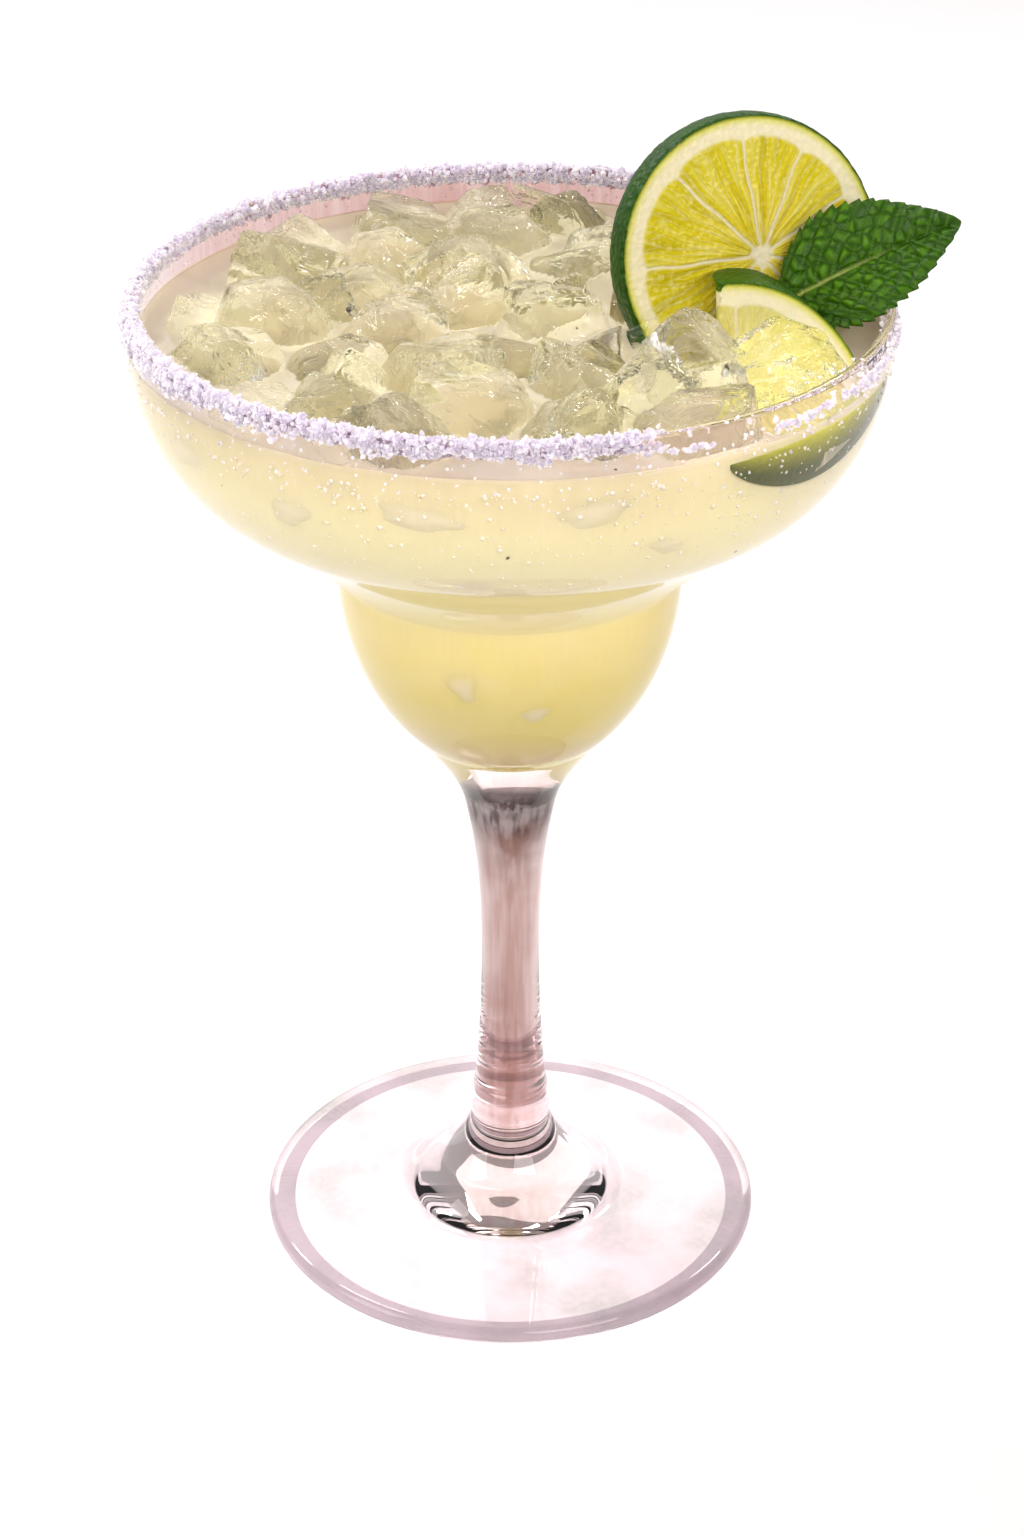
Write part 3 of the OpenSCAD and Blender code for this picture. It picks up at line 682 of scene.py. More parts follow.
def surface_height(g, s, x, y):
    """Height of the drink's surface: level, meniscus at wall and ice, and hollows that the ice fills."""
    radius = np.hypot(x, y)
    flat = np.stack([x, y, 0 * x], -1)
    height = g.level_z + 0.12 * waves(flat, 11, 3)
    height += 0.8 * np.exp(-(g.inner_r - radius) / 1.1)
    hollow = np.full(x.shape, 1e3)
    outside = np.full(x.shape, 50.0)
    for node in ICE_NODES:
        normals, distances, _ = flat_sides(node)
        distances = distances - 0.35
        low = np.full(x.shape, -1e3)
        high = np.full(x.shape, 1e3)
        beside = np.full(x.shape, -1e3)
        for normal, distance in zip(normals, distances):
            across = normal[0] * x + normal[1] * y - distance
            sideways = math.hypot(normal[0], normal[1])
            if normal[2] > 0.05:
                high = np.minimum(high, -across / normal[2])
            elif normal[2] < -0.05:
                low = np.maximum(low, -across / normal[2])
            if sideways > 0.2:
                beside = np.maximum(beside, (across + normal[2] * g.level_z) / sideways)
            if abs(normal[2]) <= 0.05:
                high = np.where(across > 0, -1e3, high)
        inside = (high > low) & (high > g.level_z + 0.2)
        hollow = np.where(inside, np.minimum(hollow, np.maximum(g.level_z - 6.5, low + 0.5)), hollow)
        outside = np.minimum(outside, np.abs(beside))
    height += 0.75 * np.exp(-outside / 0.9)
    height = np.minimum(height, hollow)
    # Over the slice the clear top of the drink shows the fruit, so the surface dips into its thickness.
    at, up, b, line = slice_place(g, s)
    along = (x - at[0]) * up[0] + (y - at[1]) * up[1]
    across = (x - at[0]) * up[1] - (y - at[1]) * up[0] + s.slice_shift
    reach = np.interp(along, line[:, 0], b)
    face_z = at[2] + np.interp(along, line[:, 0], line[:, 1])
    half = np.sqrt(np.maximum(0, (s.slice_d / 2) ** 2 - (reach - s.slice_d / 2) ** 2))
    over = (along > 1) & (along < line[-1, 0]) & (np.abs(across) < half - 1.2)
    over &= across > 0.8 - s.slice_cut
    return np.where(over, np.minimum(height, face_z - s.slice_t * 0.5), height)


def cloudy_drink(name, wet, over_ice=False):
    """Lime juice shaken with spirit: cloudy and soft, deeper in the cup, and paler over sunk ice; painted
    shade darkens its top and painted light lifts it above the step.
    """
    colours = bpy.context.scene.margarita_colours
    material, tree, output = new_material(name)
    place = add_node(tree, "ShaderNodeTexCoord").outputs["Object"]
    height = add_node(tree, "ShaderNodeSeparateXYZ", {0: place}).outputs["Z"]
    along = ranged(tree, height, 0.097, 0.162)
    # Painted shade: towards the top the drink is painted darker and greyer, and its wet top darker still.
    upper = [(0.7, "#FFFCCC"), (0.85, "#FAF6C4"), (0.962, "#EAE4B6"), (1.0, "#DAD2A8")]
    if wet:
        upper = [(0.76, "#DFD5A6"), (0.9, "#D0C5A4"), (1.0, "#C6BAA3")]
    # Painted light: just above the step, where the wide bowl shades the drink, it is painted lighter.
    lower = [(0.0, "#ECDF84"), (0.12, colours.drink_deep), (0.36, "#F6EC9C"), (0.5, "#FFFABC")]
    body = ramp(tree, along, [*lower, (0.62, colours.drink_pale), *upper])
    drift = noise(tree, place, per_mm(17), detail=3.0, distortion=0.7)
    patchy = ranged(tree, drift, 0.35, 0.7, end=0.3)
    if over_ice:
        tone = field(tree, "tone")
        patchy = maths(tree, "MAXIMUM", patchy, tone)
    shader = add_node(
        tree, "ShaderNodeBsdfPrincipled",
        {"Base Color": mixed(tree, patchy, body, "#FBF4CC"), "Roughness": 0.04 if wet else 0.6,
         "IOR": 1.34, "Specular IOR Level": 0.5 if wet else 0.0, "Subsurface Weight": 0.25,
         "Subsurface Radius": (1.0, 0.95, 0.6), "Subsurface Scale": 0.005},
    )
    tree.links.new(shader.outputs[0], output.inputs["Surface"])
    return material


def build_drink():
    """Makes the drink as one closed piece: its side just inside the glass's wall, and its uneven top."""
    g = glass_sizes()
    s = read(bpy.context.scene.margarita_garnish)
    steps = DRINK_STEPS
    side = cup_and_bowl_inside(g)
    way = np.gradient(side, axis=0)
    way /= np.linalg.norm(way, axis=1, keepdims=True)
    side = side + DRINK_BITE * np.stack([-way[:, 1], way[:, 0]], -1)
    side[-1, 0] = 0
    top_r = side[0, 0]
    wall_rows = np.stack([np.full(5, top_r), np.linspace(g.level_z + 0.7, g.bowl_mid_z, 6)[:-1]], -1)
    side = side[side[:, 1] < wall_rows[-1, 1] - 0.2]
    profile = np.concatenate([wall_rows[wall_rows[:, 1] > g.bowl_mid_z + 0.1], side])
    turn = np.arange(steps) * TAU / steps
    ring = np.stack([np.cos(turn), np.sin(turn)], -1)
    radii = top_r * (1 - np.linspace(0, 1, 113)[1:-1] ** 1.08)[::-1]
    x, y = radii[:, None] * ring[None, :, 0], radii[:, None] * ring[None, :, 1]
    top = np.stack([x, y, surface_height(g, s, x, y)], -1)
    low = np.concatenate(
        [profile[:-1, None, :1] * ring[None], np.repeat(profile[:-1, None, 1:], steps, axis=1)], axis=-1
    )
    rings = np.concatenate([top, low])
    middle = (0, 0, float(top[0, :, 2].mean()))
    points, faces = closed_skin(rings, middle, (0, 0, profile[-1, 1]))
    top_faces = (len(top) - 1) * steps
    part = np.ones(sum(len(face) for face in faces))
    part[:top_faces] = 0
    part[len(faces[0]) : len(faces[0]) + steps] = 0
    looks = [cloudy_drink("lime_juice_cloudy_top", True), cloudy_drink("lime_juice_cloudy", False)]
    piece = make_piece("margarita_drink", points, faces, looks, part)
    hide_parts("drink")


def ball(rows, steps):
    """A small round bead: rings of a sphere between its two poles."""
    lat = (np.arange(1, rows) / rows * math.pi)[:, None]
    lon = (np.arange(steps) / steps * TAU)[None]
    rings = np.stack([np.sin(lat) * np.cos(lon), np.sin(lat) * np.sin(lon), np.cos(lat) + 0 * lon], -1)
    points, faces = closed_skin(rings, (0, 0, 1), (0, 0, -1))
    triangles = np.concatenate([faces[0][:, [0, 1, 2]], faces[0][:, [0, 2, 3]], faces[1], faces[2]])
    if signed_volume(points, [triangles]) < 0:
        triangles = triangles[:, ::-1]
    return points, triangles


def at_wall(g, turn, z, depth):
    """Points at height z whose distance inside the glass's wall is depth."""
    r = bowl_inner_r(g, z) + depth
    return np.stack([r * np.cos(turn), r * np.sin(turn), z], -1)


def trapped_bubbles():
    """Air bubbles at the wall: bright specks, since light turns back at the air."""
    material, tree, output = new_material("air_bubbles_in_juice")
    tone = field(tree, "tone")
    body = ramp(tree, tone, [(0.0, "#FBF6DC"), (1.0, "#FFFFFC")])
    shader = add_node(
        tree, "ShaderNodeBsdfPrincipled", {"Base Color": body, "Roughness": 0.25, "Specular IOR Level": 0.3}
    )
    tree.links.new(shader.outputs[0], output.inputs["Surface"])
    return material


def zest_specks():
    """Specks of lime zest and pulp: small, dark olive and dull."""
    material, tree, output = new_material("lime_zest_specks")
    tone = field(tree, "tone")
    body = ramp(tree, tone, [(0.0, "#3C3A12"), (1.0, "#7C7428")])
    shader = add_node(tree, "ShaderNodeBsdfPrincipled", {"Base Color": body, "Roughness": 0.6})
    tree.links.new(shader.outputs[0], output.inputs["Surface"])
    return material


def build_sunk_ice():
    """Lays low domes of sunk ice against the wall: they fade into the drink at their edges."""
    g = glass_sizes()
    side = cup_and_bowl_inside(g)[::-1]
    rho = np.linspace(0, 1, 14)[1:, None]
    lap = (np.arange(48) / 48 * TAU)[None]
    look = cloudy_drink("ice_under_juice", False, over_ice=True)
    for k, (degrees, height, wide, tall, tilt) in enumerate(SUNK_ICE):
        wave = 1 + 0.12 * np.sin(3 * lap + k) + 0.07 * np.sin(5 * lap + 2 * k)
        a = wide / 2 * rho * np.cos(lap) * wave
        b = tall / 2 * rho * np.sin(lap) * wave
        across, z = a * math.cos(tilt) - b * math.sin(tilt), a * math.sin(tilt) + b * math.cos(tilt) + height
        front = 0.44 + 0.34 * (1 - rho**2) ** 2 + 0 * lap
        rings = []
        for depth in (front, 0 * front - 0.3):
            r = np.interp(z, side[:, 1], side[:, 0]) + depth
            turn = math.radians(degrees) + across / np.interp(height, side[:, 1], side[:, 0])
            rings.append(np.stack([r * np.cos(turn), r * np.sin(turn), z], -1))
        whole = np.concatenate([rings[0], rings[1][::-1]])
        points, faces = closed_skin(whole, rings[0][0].mean(0), rings[1][0].mean(0))
        fade = (0.8 * np.clip(1 - (rho / 0.75) ** 2, 0, 1) ** 1.5 + 0 * lap).ravel()
        tone = np.concatenate([fade, fade[::-1], [0.8, 0.8]])
        make_piece(f"sunk_ice_{k + 1:02d}", points, faces, [look], values={"tone": tone})


def build_bubbles():
    """Scatters fine bubbles and specks of zest where the drink meets the wall and over its surface."""
    g = glass_sizes()
    s = read(bpy.context.scene.margarita_garnish)
    rng = np.random.default_rng(11)
    points, faces = ball(4, 6)
    count = s.bubbles
    turn = rng.uniform(0, TAU, count)
    z = g.level_z - 1.5 - 22 * rng.uniform(0, 1, count) ** 1.5
    sizes = (0.14 + 0.3 * rng.uniform(0, 1, count) ** 3)[:, None] * np.ones(3)
    verts, polys = scatter(points, faces, at_wall(g, turn, z, 0.72), random_turns(rng, count), sizes)
    tone = np.repeat(rng.uniform(0, 1, count), len(points))
    make_piece("air_bubbles", verts, polys, [trapped_bubbles()], values={"tone": tone})

    count = s.specks
    turn = rng.uniform(0, TAU, count)
    z = g.level_z - 2 - 20 * rng.uniform(0, 1, count)
    places = at_wall(g, turn, z, 0.5)
    afloat = rng.uniform(0, 1, count) < 0.45
    radius = g.inner_r * np.sqrt(rng.uniform(0, 0.9, count))
    x, y = radius * np.cos(turn), radius * np.sin(turn)
    top = np.stack([x, y, surface_height(g, s, x, y)], -1)
    places = np.where(afloat[:, None], top, places)
    sizes = rng.uniform(0.12, 0.36, (count, 1)) * rng.uniform(0.6, 1.4, (count, 3))
    verts, polys = scatter(points, faces, places, random_turns(rng, count), sizes)
    tone = np.repeat(rng.uniform(0, 1, count), len(points))
    make_piece("zest_specks", verts, polys, [zest_specks()], values={"tone": tone})


# ---- Salt ----


def lip_section(g, down, inward):
    """The lip's outline as a path: up the outside, over the rounded top and down the inside, with normals."""
    low = np.linspace(g.glass_h - down, g.glass_h - g.wall / 2, 30)[:-1]
    fall = np.minimum(0, low - g.bowl_mid_z) / g.bowl_round_h
    outer = g.rim_r - g.bowl_round_w + g.bowl_round_w * np.sqrt(1 - fall**2)
    over = arc(g.rim_r - g.wall / 2, g.glass_h - g.wall / 2, g.wall / 2, g.wall / 2, 0, 180, 12)
    inner = np.linspace(g.glass_h - g.wall / 2, g.glass_h - inward, 8)[1:]
    path = np.concatenate([np.stack([outer, low], -1), over, np.stack([np.full(7, g.inner_r), inner], -1)])
    way = np.gradient(path, axis=0)
    way /= np.linalg.norm(way, axis=1, keepdims=True)
    run = np.concatenate([[0], np.cumsum(np.linalg.norm(np.diff(path, axis=0), axis=1))])
    return path, np.stack([way[:, 1], -way[:, 0]], -1), run


def coarse_salt():
    """Coarse sea salt: white broken crystals that glow a little and turn lavender in the shade."""
    colours = bpy.context.scene.margarita_colours
    material, tree, output = new_material("sea_salt_coarse")
    tone = field(tree, "tone")
    body = ramp(tree, tone, [(0.0, "#F8F0FA"), (0.5, colours.salt), (1.0, "#FFFFFF")])
    shader = add_node(
        tree, "ShaderNodeBsdfPrincipled",
        {"Base Color": body, "Roughness": 0.3, "IOR": 1.54, "Subsurface Weight": 0.8,
         "Subsurface Radius": (1.0, 0.95, 1.0), "Subsurface Scale": 0.002},
    )
    lets_lamps_through(tree, output, shader.outputs[0], linear("#DCD4E2"))
    return material


def build_salt():
    """Sticks broken crystals on the lip, widest at the left, and rubbed off at the front right."""
    g = glass_sizes()
    s = read(bpy.context.scene.margarita_garnish)
    rng = np.random.default_rng(5)
    cube = np.array([[x, y, z] for x in (-1, 1) for y in (-1, 1) for z in (-1, 1)], float) * 0.5
    cube *= 1 - 0.35 * rng.uniform(0, 1, (8, 1))
    sides = np.array([[0, 1, 3, 2], [4, 6, 7, 5], [0, 4, 5, 1], [2, 3, 7, 6], [0, 2, 6, 4], [1, 5, 7, 3]])
    count = s.salt_grains
    turn = rng.uniform(0, TAU, count)
    degrees = (np.degrees(turn) + 180) % 360 - 180
    path, normals, run = lip_section(g, 10, 2.4)
    ragged = 1.1 * np.sin(degrees * 0.31) + 0.8 * np.sin(degrees * 0.83 + 1) + 0.7 * np.sin(degrees * 2.1 + 2)
    where = rng.uniform(0, 1, count)
    stray = rng.uniform(0, 1, count) < 0.035
    # The band is widest at the left and thin at the front, and lies low where the lip is bare.
    band = 1.7 + 1.5 * np.exp(-(((degrees % 360 - 185) / 55) ** 2))
    band = band + 0.6 * np.exp(-(((degrees - 90) / 50) ** 2))
    band = band + 2.2 * np.exp(-(((degrees + 22) / 42) ** 2))
    lowest = np.interp(g.glass_h - band, path[:30, 1], run[:30]) + ragged * 0.5
    place = np.where(stray, where * lowest, lowest + where * (run[-1] - lowest))
    r = np.interp(place, run, path[:, 0])
    z = np.interp(place, run, path[:, 1])
    out_r = np.interp(place, run, normals[:, 0])
    out_z = np.interp(place, run, normals[:, 1])
    below_lip = (z < g.glass_h - 2.5) & (r > g.inner_r + 0.8)
    bare = (degrees > -71 + 3 * np.sin(z * 3)) & (degrees < 25) & ~below_lip
    thin = (degrees > -60) & (degrees < 60) & (rng.uniform(0, 1, count) < 0.45)
    keep = ~bare & ~(thin & (degrees > 25)) | (bare & (rng.uniform(0, 1, count) < 0.012))
    clump = np.clip(0.75 + 0.5 * np.sin(degrees * 1.7) + 0.4 * np.sin(degrees * 4.3 + z * 2), 0.3, 1.5)
    lift = np.where(stray, 0.15, 0.06 + 0.62 * clump * rng.uniform(0, 1, count) ** 1.3)
    lift = np.where((r < g.inner_r + 0.3) & (z < g.glass_h - 1), lift * 0.6, lift)
    r = r + lift * out_r
    z = z + lift * out_z
    places = np.stack([r * np.cos(turn), r * np.sin(turn), z], -1)
    sizes = s.salt_size * rng.uniform(0.5, 1.3, (count, 1)) * rng.uniform(0.7, 1.15, (count, 3))
    sizes = np.where(stray[:, None], sizes * 0.6, sizes)
    turns = random_turns(rng, count)
    tone = rng.uniform(0, 1, count)
    points, faces = scatter(cube, sides, places[keep], turns[keep], sizes[keep])
    piece = make_piece(
        "salt_grains", points, faces, [coarse_salt()], values={"tone": np.repeat(tone[keep], 8)}
    )
    piece.data.polygons.foreach_set("use_smooth", np.zeros(len(piece.data.polygons), bool))
    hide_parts("salt_rim")


# ---- Lime ----


def lime_disc(radius, thick, place, seams, heart, seed, cut_x=None, steps=LIME_STEPS):
    """A cut round of lime, closed: its face, its skin and its back, sampled by turn and distance.

    place(x, y, depth) carries the flat round to where it lies. Each point keeps how much it is skin,
    pith, membrane or flesh, and its place among the juice sacs, for the material. With cut_x, the part
    left of x = cut_x is cut off: every row across is squeezed between the cut and the disc's right edge.
    """
    skin_w, rind_w = 0.7, 2.9
    turn = np.arange(steps) * TAU / steps
    cuts = np.sort(np.radians(seams) % TAU)
    face_r = np.linspace(0.02, 1, 64) ** 0.9 * (radius - 0.25)
    edge = np.linspace(0, math.pi, 9)
    bulge = thick / 10

    # Skin: half an ellipse from the face's edge to the back's edge.
    edge_r = radius - 0.25 + bulge * np.sin(edge)
    edge_d = thick * (1 - np.cos(edge)) / 2
    back_r = face_r[::-1][::3]
    radii = np.concatenate([face_r, edge_r, back_r])
    depths = np.concatenate([0 * face_r, edge_d, np.full(len(back_r), thick)])
    r = np.repeat(radii[:, None], steps, axis=1)
    depth = np.repeat(depths[:, None], steps, axis=1)
    side = np.concatenate([np.ones(len(face_r)), np.zeros(len(edge_r)), -np.ones(len(back_r))])
    side = np.repeat(side[:, None], steps, 1)
    x, y = r * np.cos(turn), r * np.sin(turn)
    if cut_x is not None:
        half = np.sqrt(np.maximum(radius**2 - y**2, 1e-6))
        start = np.maximum(-half, np.minimum(cut_x, half))
        x = start + (x + half) * (half - start) / (2 * half)
    r = np.hypot(x, y)

    # Turn and distance about the heart, which is a little off the middle.
    hx, hy = x - heart[0], y - heart[1]
    away = np.hypot(hx, hy)
    around = np.arctan2(hy, hx) % TAU
    around = around + 0.012 * np.sin(away * 0.7 + seed)
    index = np.searchsorted(cuts, around % TAU) % len(cuts)
    before = cuts[index - 1]
    wide = (cuts[index] - before) % TAU
    part = ((around - before) % TAU) / wide
    to_cut = np.minimum(part, 1 - part) * wide * away
    rind = radius - r
    round_off = 1.6 * np.exp(-to_cut / 1.3)
    flesh_edge = rind - rind_w - round_off * 0.6
    flesh = np.clip(flesh_edge / 0.5, 0, 1) * np.clip((to_cut - 0.12) / 0.25, 0, 1)
    flesh = flesh * np.clip((away - 1.5 - 0.3 * np.sin(around * 3)) / 0.4, 0, 1)
    flat_cut = np.maximum(np.abs(side), np.clip((radius - r - 1.4) / 0.4, 0, 1))
    skin = np.where(flat_cut > 0, np.clip((skin_w - rind) / 0.5, 0, 1), 1.0)
    zest = np.where(flat_cut > 0, np.clip((skin_w + 1.0 - rind) / 1.2, 0, 1), 1.0)
    sacs = np.stack(
        [around * 11 + index * 3.1, away / 9 + 0.5 * np.sin(around * 23 + index), index * 7.0 + side], -1
    )
    flesh = flesh * flat_cut

    # Relief: the flesh swells a little between the membranes, and each juice sac is a low ridge.
    ridge = np.sin(around * 48 + 0.5 * np.sin(away * 0.8 + index))
    ridge = ridge * np.sin(away * 0.55 + index * 2 + around * 11)
    swell = flesh * (0.16 + 0.10 * ridge) - np.clip(1 - to_cut / 0.5, 0, 1) * (flesh_edge > 0) * 0.12
    depth = depth - side * swell * np.clip(away / 3, 0, 1)
    pores = np.stack([np.cos(turn) * radius, np.sin(turn) * radius, 0 * turn], -1)
    bumpy = 0.10 * waves(pores[None] + depth[..., None] * np.array([0, 0, 1.0]), 2.2, seed)
    grow = np.where(side == 0, 1 + bumpy / radius, 1)
    pole_x = np.full(1, 0.0 if cut_x is None else (radius + cut_x) / 2)
    zero = np.zeros(1)
    points, faces = closed_skin(
        place(x * grow, y * grow, depth), place(pole_x, zero, zero)[0],
        place(pole_x, zero, np.full(1, thick))[0],
    )

    def with_poles(field, end):
        return np.concatenate([field.reshape(-1, *field.shape[2:]), end, end])

    values = {
        "flesh": with_poles(flesh, zero),
        "skin": with_poles(skin, zero),
        "zest": with_poles(zest, zero),
        "away": with_poles(away / radius, zero),
        "sacs": with_poles(sacs, np.zeros((1, 3))),
    }
    return points, faces, values


def cut_lime(name, skin_hex, skin_deep, flesh_hex, flesh_deep):
    """A fresh cut lime: glassy juice sacs, matt pale membranes and pith, and waxy pored skin."""
    colours = bpy.context.scene.margarita_colours
    material, tree, output = new_material(name)

    place = add_node(tree, "ShaderNodeTexCoord").outputs["Object"]
    sacs = add_node(
        tree, "ShaderNodeTexVoronoi",
        {"Vector": field(tree, "sacs", "Vector"), "Scale": 1.0, "Randomness": 0.85},
        feature="SMOOTH_F1",
    )
    edges = add_node(
        tree, "ShaderNodeTexVoronoi",
        {"Vector": field(tree, "sacs", "Vector"), "Scale": 1.0, "Randomness": 0.85},
        feature="DISTANCE_TO_EDGE",
    )
    juicy = ramp(tree, sacs.outputs["Distance"], [(0.0, "#F6EE98"), (0.4, flesh_hex), (0.85, flesh_deep)])
    between = ranged(tree, edges.outputs["Distance"], 0, 0.07, start=0.45, end=0.0)
    pulp = mixed(tree, between, juicy, "#F3ECA8")
    # The flesh is greener towards the skin and paler at the heart.
    pulp = mixed(tree, ranged(tree, field(tree, "away"), 0.3, 0.85, end=0.3), pulp, "#B3B41C")
    cut = mixed(tree, field(tree, "flesh"), colours.pith, pulp)
    rim = mixed(tree, field(tree, "zest"), cut, "#D3D440")
    pores = add_node(tree, "ShaderNodeTexVoronoi", {"Vector": place, "Scale": per_mm(1.1)})
    pores = pores.outputs["Distance"]
    blotch = noise(tree, place, per_mm(6), detail=3.0)
    green = mixed(tree, blotch, skin_hex, skin_deep)
    green = mixed(tree, ranged(tree, pores, 0, 0.35, start=0.22, end=0.0), green, "#5F9420")
    body = mixed(tree, field(tree, "skin"), rim, green)
    sac_relief = ranged(tree, sacs.outputs["Distance"], 0, 0.6, start=1, end=0)
    height = maths(tree, "MULTIPLY", sac_relief, field(tree, "flesh"))
    height = maths(tree, "ADD", height, pores)
    relief = bumps(tree, height, 0.5, 0.0006)
    rough = ranged(tree, field(tree, "flesh"), 0, 1, start=0.42, end=0.16)
    shader = add_node(
        tree, "ShaderNodeBsdfPrincipled",
        {"Base Color": body, "Roughness": rough, "Normal": relief, "Specular IOR Level": 0.2,
         "Subsurface Weight": 0.35,
         "Subsurface Radius": (1.0, 0.9, 0.25), "Subsurface Scale": 0.0022},
    )
    tree.links.new(shader.outputs[0], output.inputs["Surface"])
    return material


def build_wheel():
    """Stands the lime wheel at the back right, leaning back, with its heart a little off the middle."""
    g = glass_sizes()
    s = read(bpy.context.scene.margarita_garnish)
    radius = s.wheel_d / 2
    half = math.sqrt(radius**2 - s.wheel_rise**2)
    free = g.inner_r - 0.3
    out = math.sqrt(free**2 - (half * math.sin(s.wheel_turn - s.wheel_az)) ** 2)
    out -= half * math.cos(s.wheel_turn - s.wheel_az)
    at = np.array([out * math.cos(s.wheel_az), out * math.sin(s.wheel_az), g.glass_h + s.wheel_rise])
    right = np.array([math.cos(s.wheel_turn), math.sin(s.wheel_turn), 0])
    back = np.array([-math.sin(s.wheel_turn), math.cos(s.wheel_turn), 0])
    lean = s.wheel_lean
    up = math.cos(lean) * np.array([0, 0, 1]) + math.sin(lean) * back
    face = math.sin(lean) * np.array([0, 0, 1]) - math.cos(lean) * back

    def place(x, y, depth):
        x, y, depth = x[..., None], y[..., None], depth[..., None]
        return at + x * right + y * up + (s.wheel_t / 2 - depth) * face

    seams = (180, 135, 97, 64, 28, -14, -55, -96, -140)
    points, faces, values = lime_disc(radius, s.wheel_t, place, seams, (1.8, -0.4), 2)
    look = cut_lime("lime_fresh_cut", "#143A00", "#2C5A00", "#E8D616", "#B9A408")
    piece = make_piece("lime_wheel_cut", points, faces, [look], values=values)
    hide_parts("lime_wheel")


def build_slice():
    """Lays the lime slice at the front right, bent up at its top edge and pressed flat against the wall."""
    g = glass_sizes()
    s = read(bpy.context.scene.margarita_garnish)
    at, up, b, line = slice_place(g, s)
    radius = s.slice_d / 2

    def place(x, y, depth):
        x = x - s.slice_shift
        along = y + radius
        depth = depth * (1 + 0.85 * np.clip((along - 26) / 8, 0, 1))
        slope = s.slice_slope + s.slice_bend * (np.clip(along, 0, s.slice_d) / s.slice_d) ** 4
        run = np.interp(along, b, line[:, 0]) + np.minimum(along, 0) + depth * np.sin(slope)
        rise = np.interp(along, b, line[:, 1]) - depth * np.cos(slope)
        spot = np.stack(
            [at[0] + run * up[0] + x * up[1], at[1] + run * up[1] - x * up[0], at[2] + rise], -1
        )
        # Past the wall the side is pressed flat: it keeps its direction and takes the wall's radius.
        far = np.hypot(spot[..., 0], spot[..., 1])
        wall = bowl_inner_r(g, spot[..., 2]) - 0.2
        spot[..., :2] *= np.minimum(1, wall / far)[..., None]
        return spot

    seams = (172, 128, 88, 52, 8, -32, -74, -118, -150)
    points, faces, values = lime_disc(radius, s.slice_t, place, seams, (-0.6, 0.5), 7, cut_x=-s.slice_cut)
    look = cut_lime("lime_fresh_cut_slice", "#2E5602", "#3F6C06", "#E6DC94", "#CFC054")
    piece = make_piece("lime_slice_cut", points, faces, [look], values=values)
    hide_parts("lime_slice")

    # Its outer side lies against the wall under the surface: a crescent between two curves of height.
    turn = np.radians(np.linspace(-57.5, -14.5, 120))
    share = np.linspace(0, 1, 120)
    sag = np.sin(math.pi * share**0.9) ** 0.75
    lower = g.level_z - 1.2 - 6.6 * sag - 1.2 * share
    upper = g.level_z - 0.6 + 0.3 * sag
    v = np.concatenate([np.linspace(0, 1, 22), np.linspace(1, 0, 12)[1:-1]])
    deep = np.concatenate([np.full(22, 0.85), np.full(10, -2.2)])
    z = lower[:, None] + v[None] * (upper - lower)[:, None]
    r = bowl_inner_r(g, z) + deep[None]
    rings = np.stack([r * np.cos(turn)[:, None], r * np.sin(turn)[:, None], z], -1)
    points, faces = closed_skin(rings, rings[0].mean(0), rings[-1].mean(0))
    pale = np.clip((v[None] - 0.3) / 0.7, 0, 1) ** 1.2 * np.sin(math.pi * share)[:, None] ** 0.5
    ends = np.zeros(2)
    values = {
        "flesh": np.zeros(len(points)),
        "skin": np.concatenate([(1 - pale).ravel(), ends + 1]),
        "zest": np.ones(len(points)),
        "away": np.ones(len(points)),
        "sacs": np.zeros((len(points), 3)),
    }
    look = cut_lime("lime_skin_in_juice", "#5C6404", "#465004", "#E8DE78", "#CDB812")
    make_piece("lime_slice_side", points, faces, [look], values=values)


# ---- Mint ----


def rotation(axis, a):
    """Matrix that turns by a about the x, y or z axis."""
    c, n = math.cos(a), math.sin(a)
    i, j = [(1, 2), (2, 0), (0, 1)]["xyz".index(axis)]
    turn = np.eye(3)
    turn[i, i], turn[i, j], turn[j, i], turn[j, j] = c, -n, n, c
    return turn


def mint_surface():
    """Fresh mint: dark green and quilted, with painted shade in the hollows and painted light on the raised
    parts, pale veins and a soft waxy shine.
    """
    colours = bpy.context.scene.margarita_colours
    material, tree, output = new_material("mint_leaf_fresh")

    net = add_node(
        tree, "ShaderNodeTexVoronoi", {"Vector": field(tree, "blade", "Vector"), "Scale": 1.0},
        feature="DISTANCE_TO_EDGE",
    ).outputs["Distance"]
    # Painted light on the raised quilting and painted shade in the hollows between.
    raised = ranged(tree, net, 0, 0.28)
    painted_blister_light = maths(tree, "MULTIPLY", raised, field(tree, "quilt"))
    green = mixed(tree, painted_blister_light, colours.leaf_dark, colours.leaf_light)
    veins = ranged(tree, net, 0, 0.05, start=0.1, end=0.0)
    green = mixed(tree, veins, green, "#5E8A20")
    green = mixed(tree, field(tree, "vein"), green, "#55861A")
    green = mixed(tree, field(tree, "midrib"), green, "#CFDB74")
    relief = bumps(tree, raised, 0.7, 0.0005)
    shader = add_node(
        tree, "ShaderNodeBsdfPrincipled",
        {"Base Color": green, "Roughness": 0.42, "Normal": relief, "Specular IOR Level": 0.25,
         "Subsurface Weight": 0.05,
         "Subsurface Radius": (0.5, 1.0, 0.1), "Subsurface Scale": 0.0012},
    )
    tree.links.new(shader.outputs[0], output.inputs["Surface"])
    return material


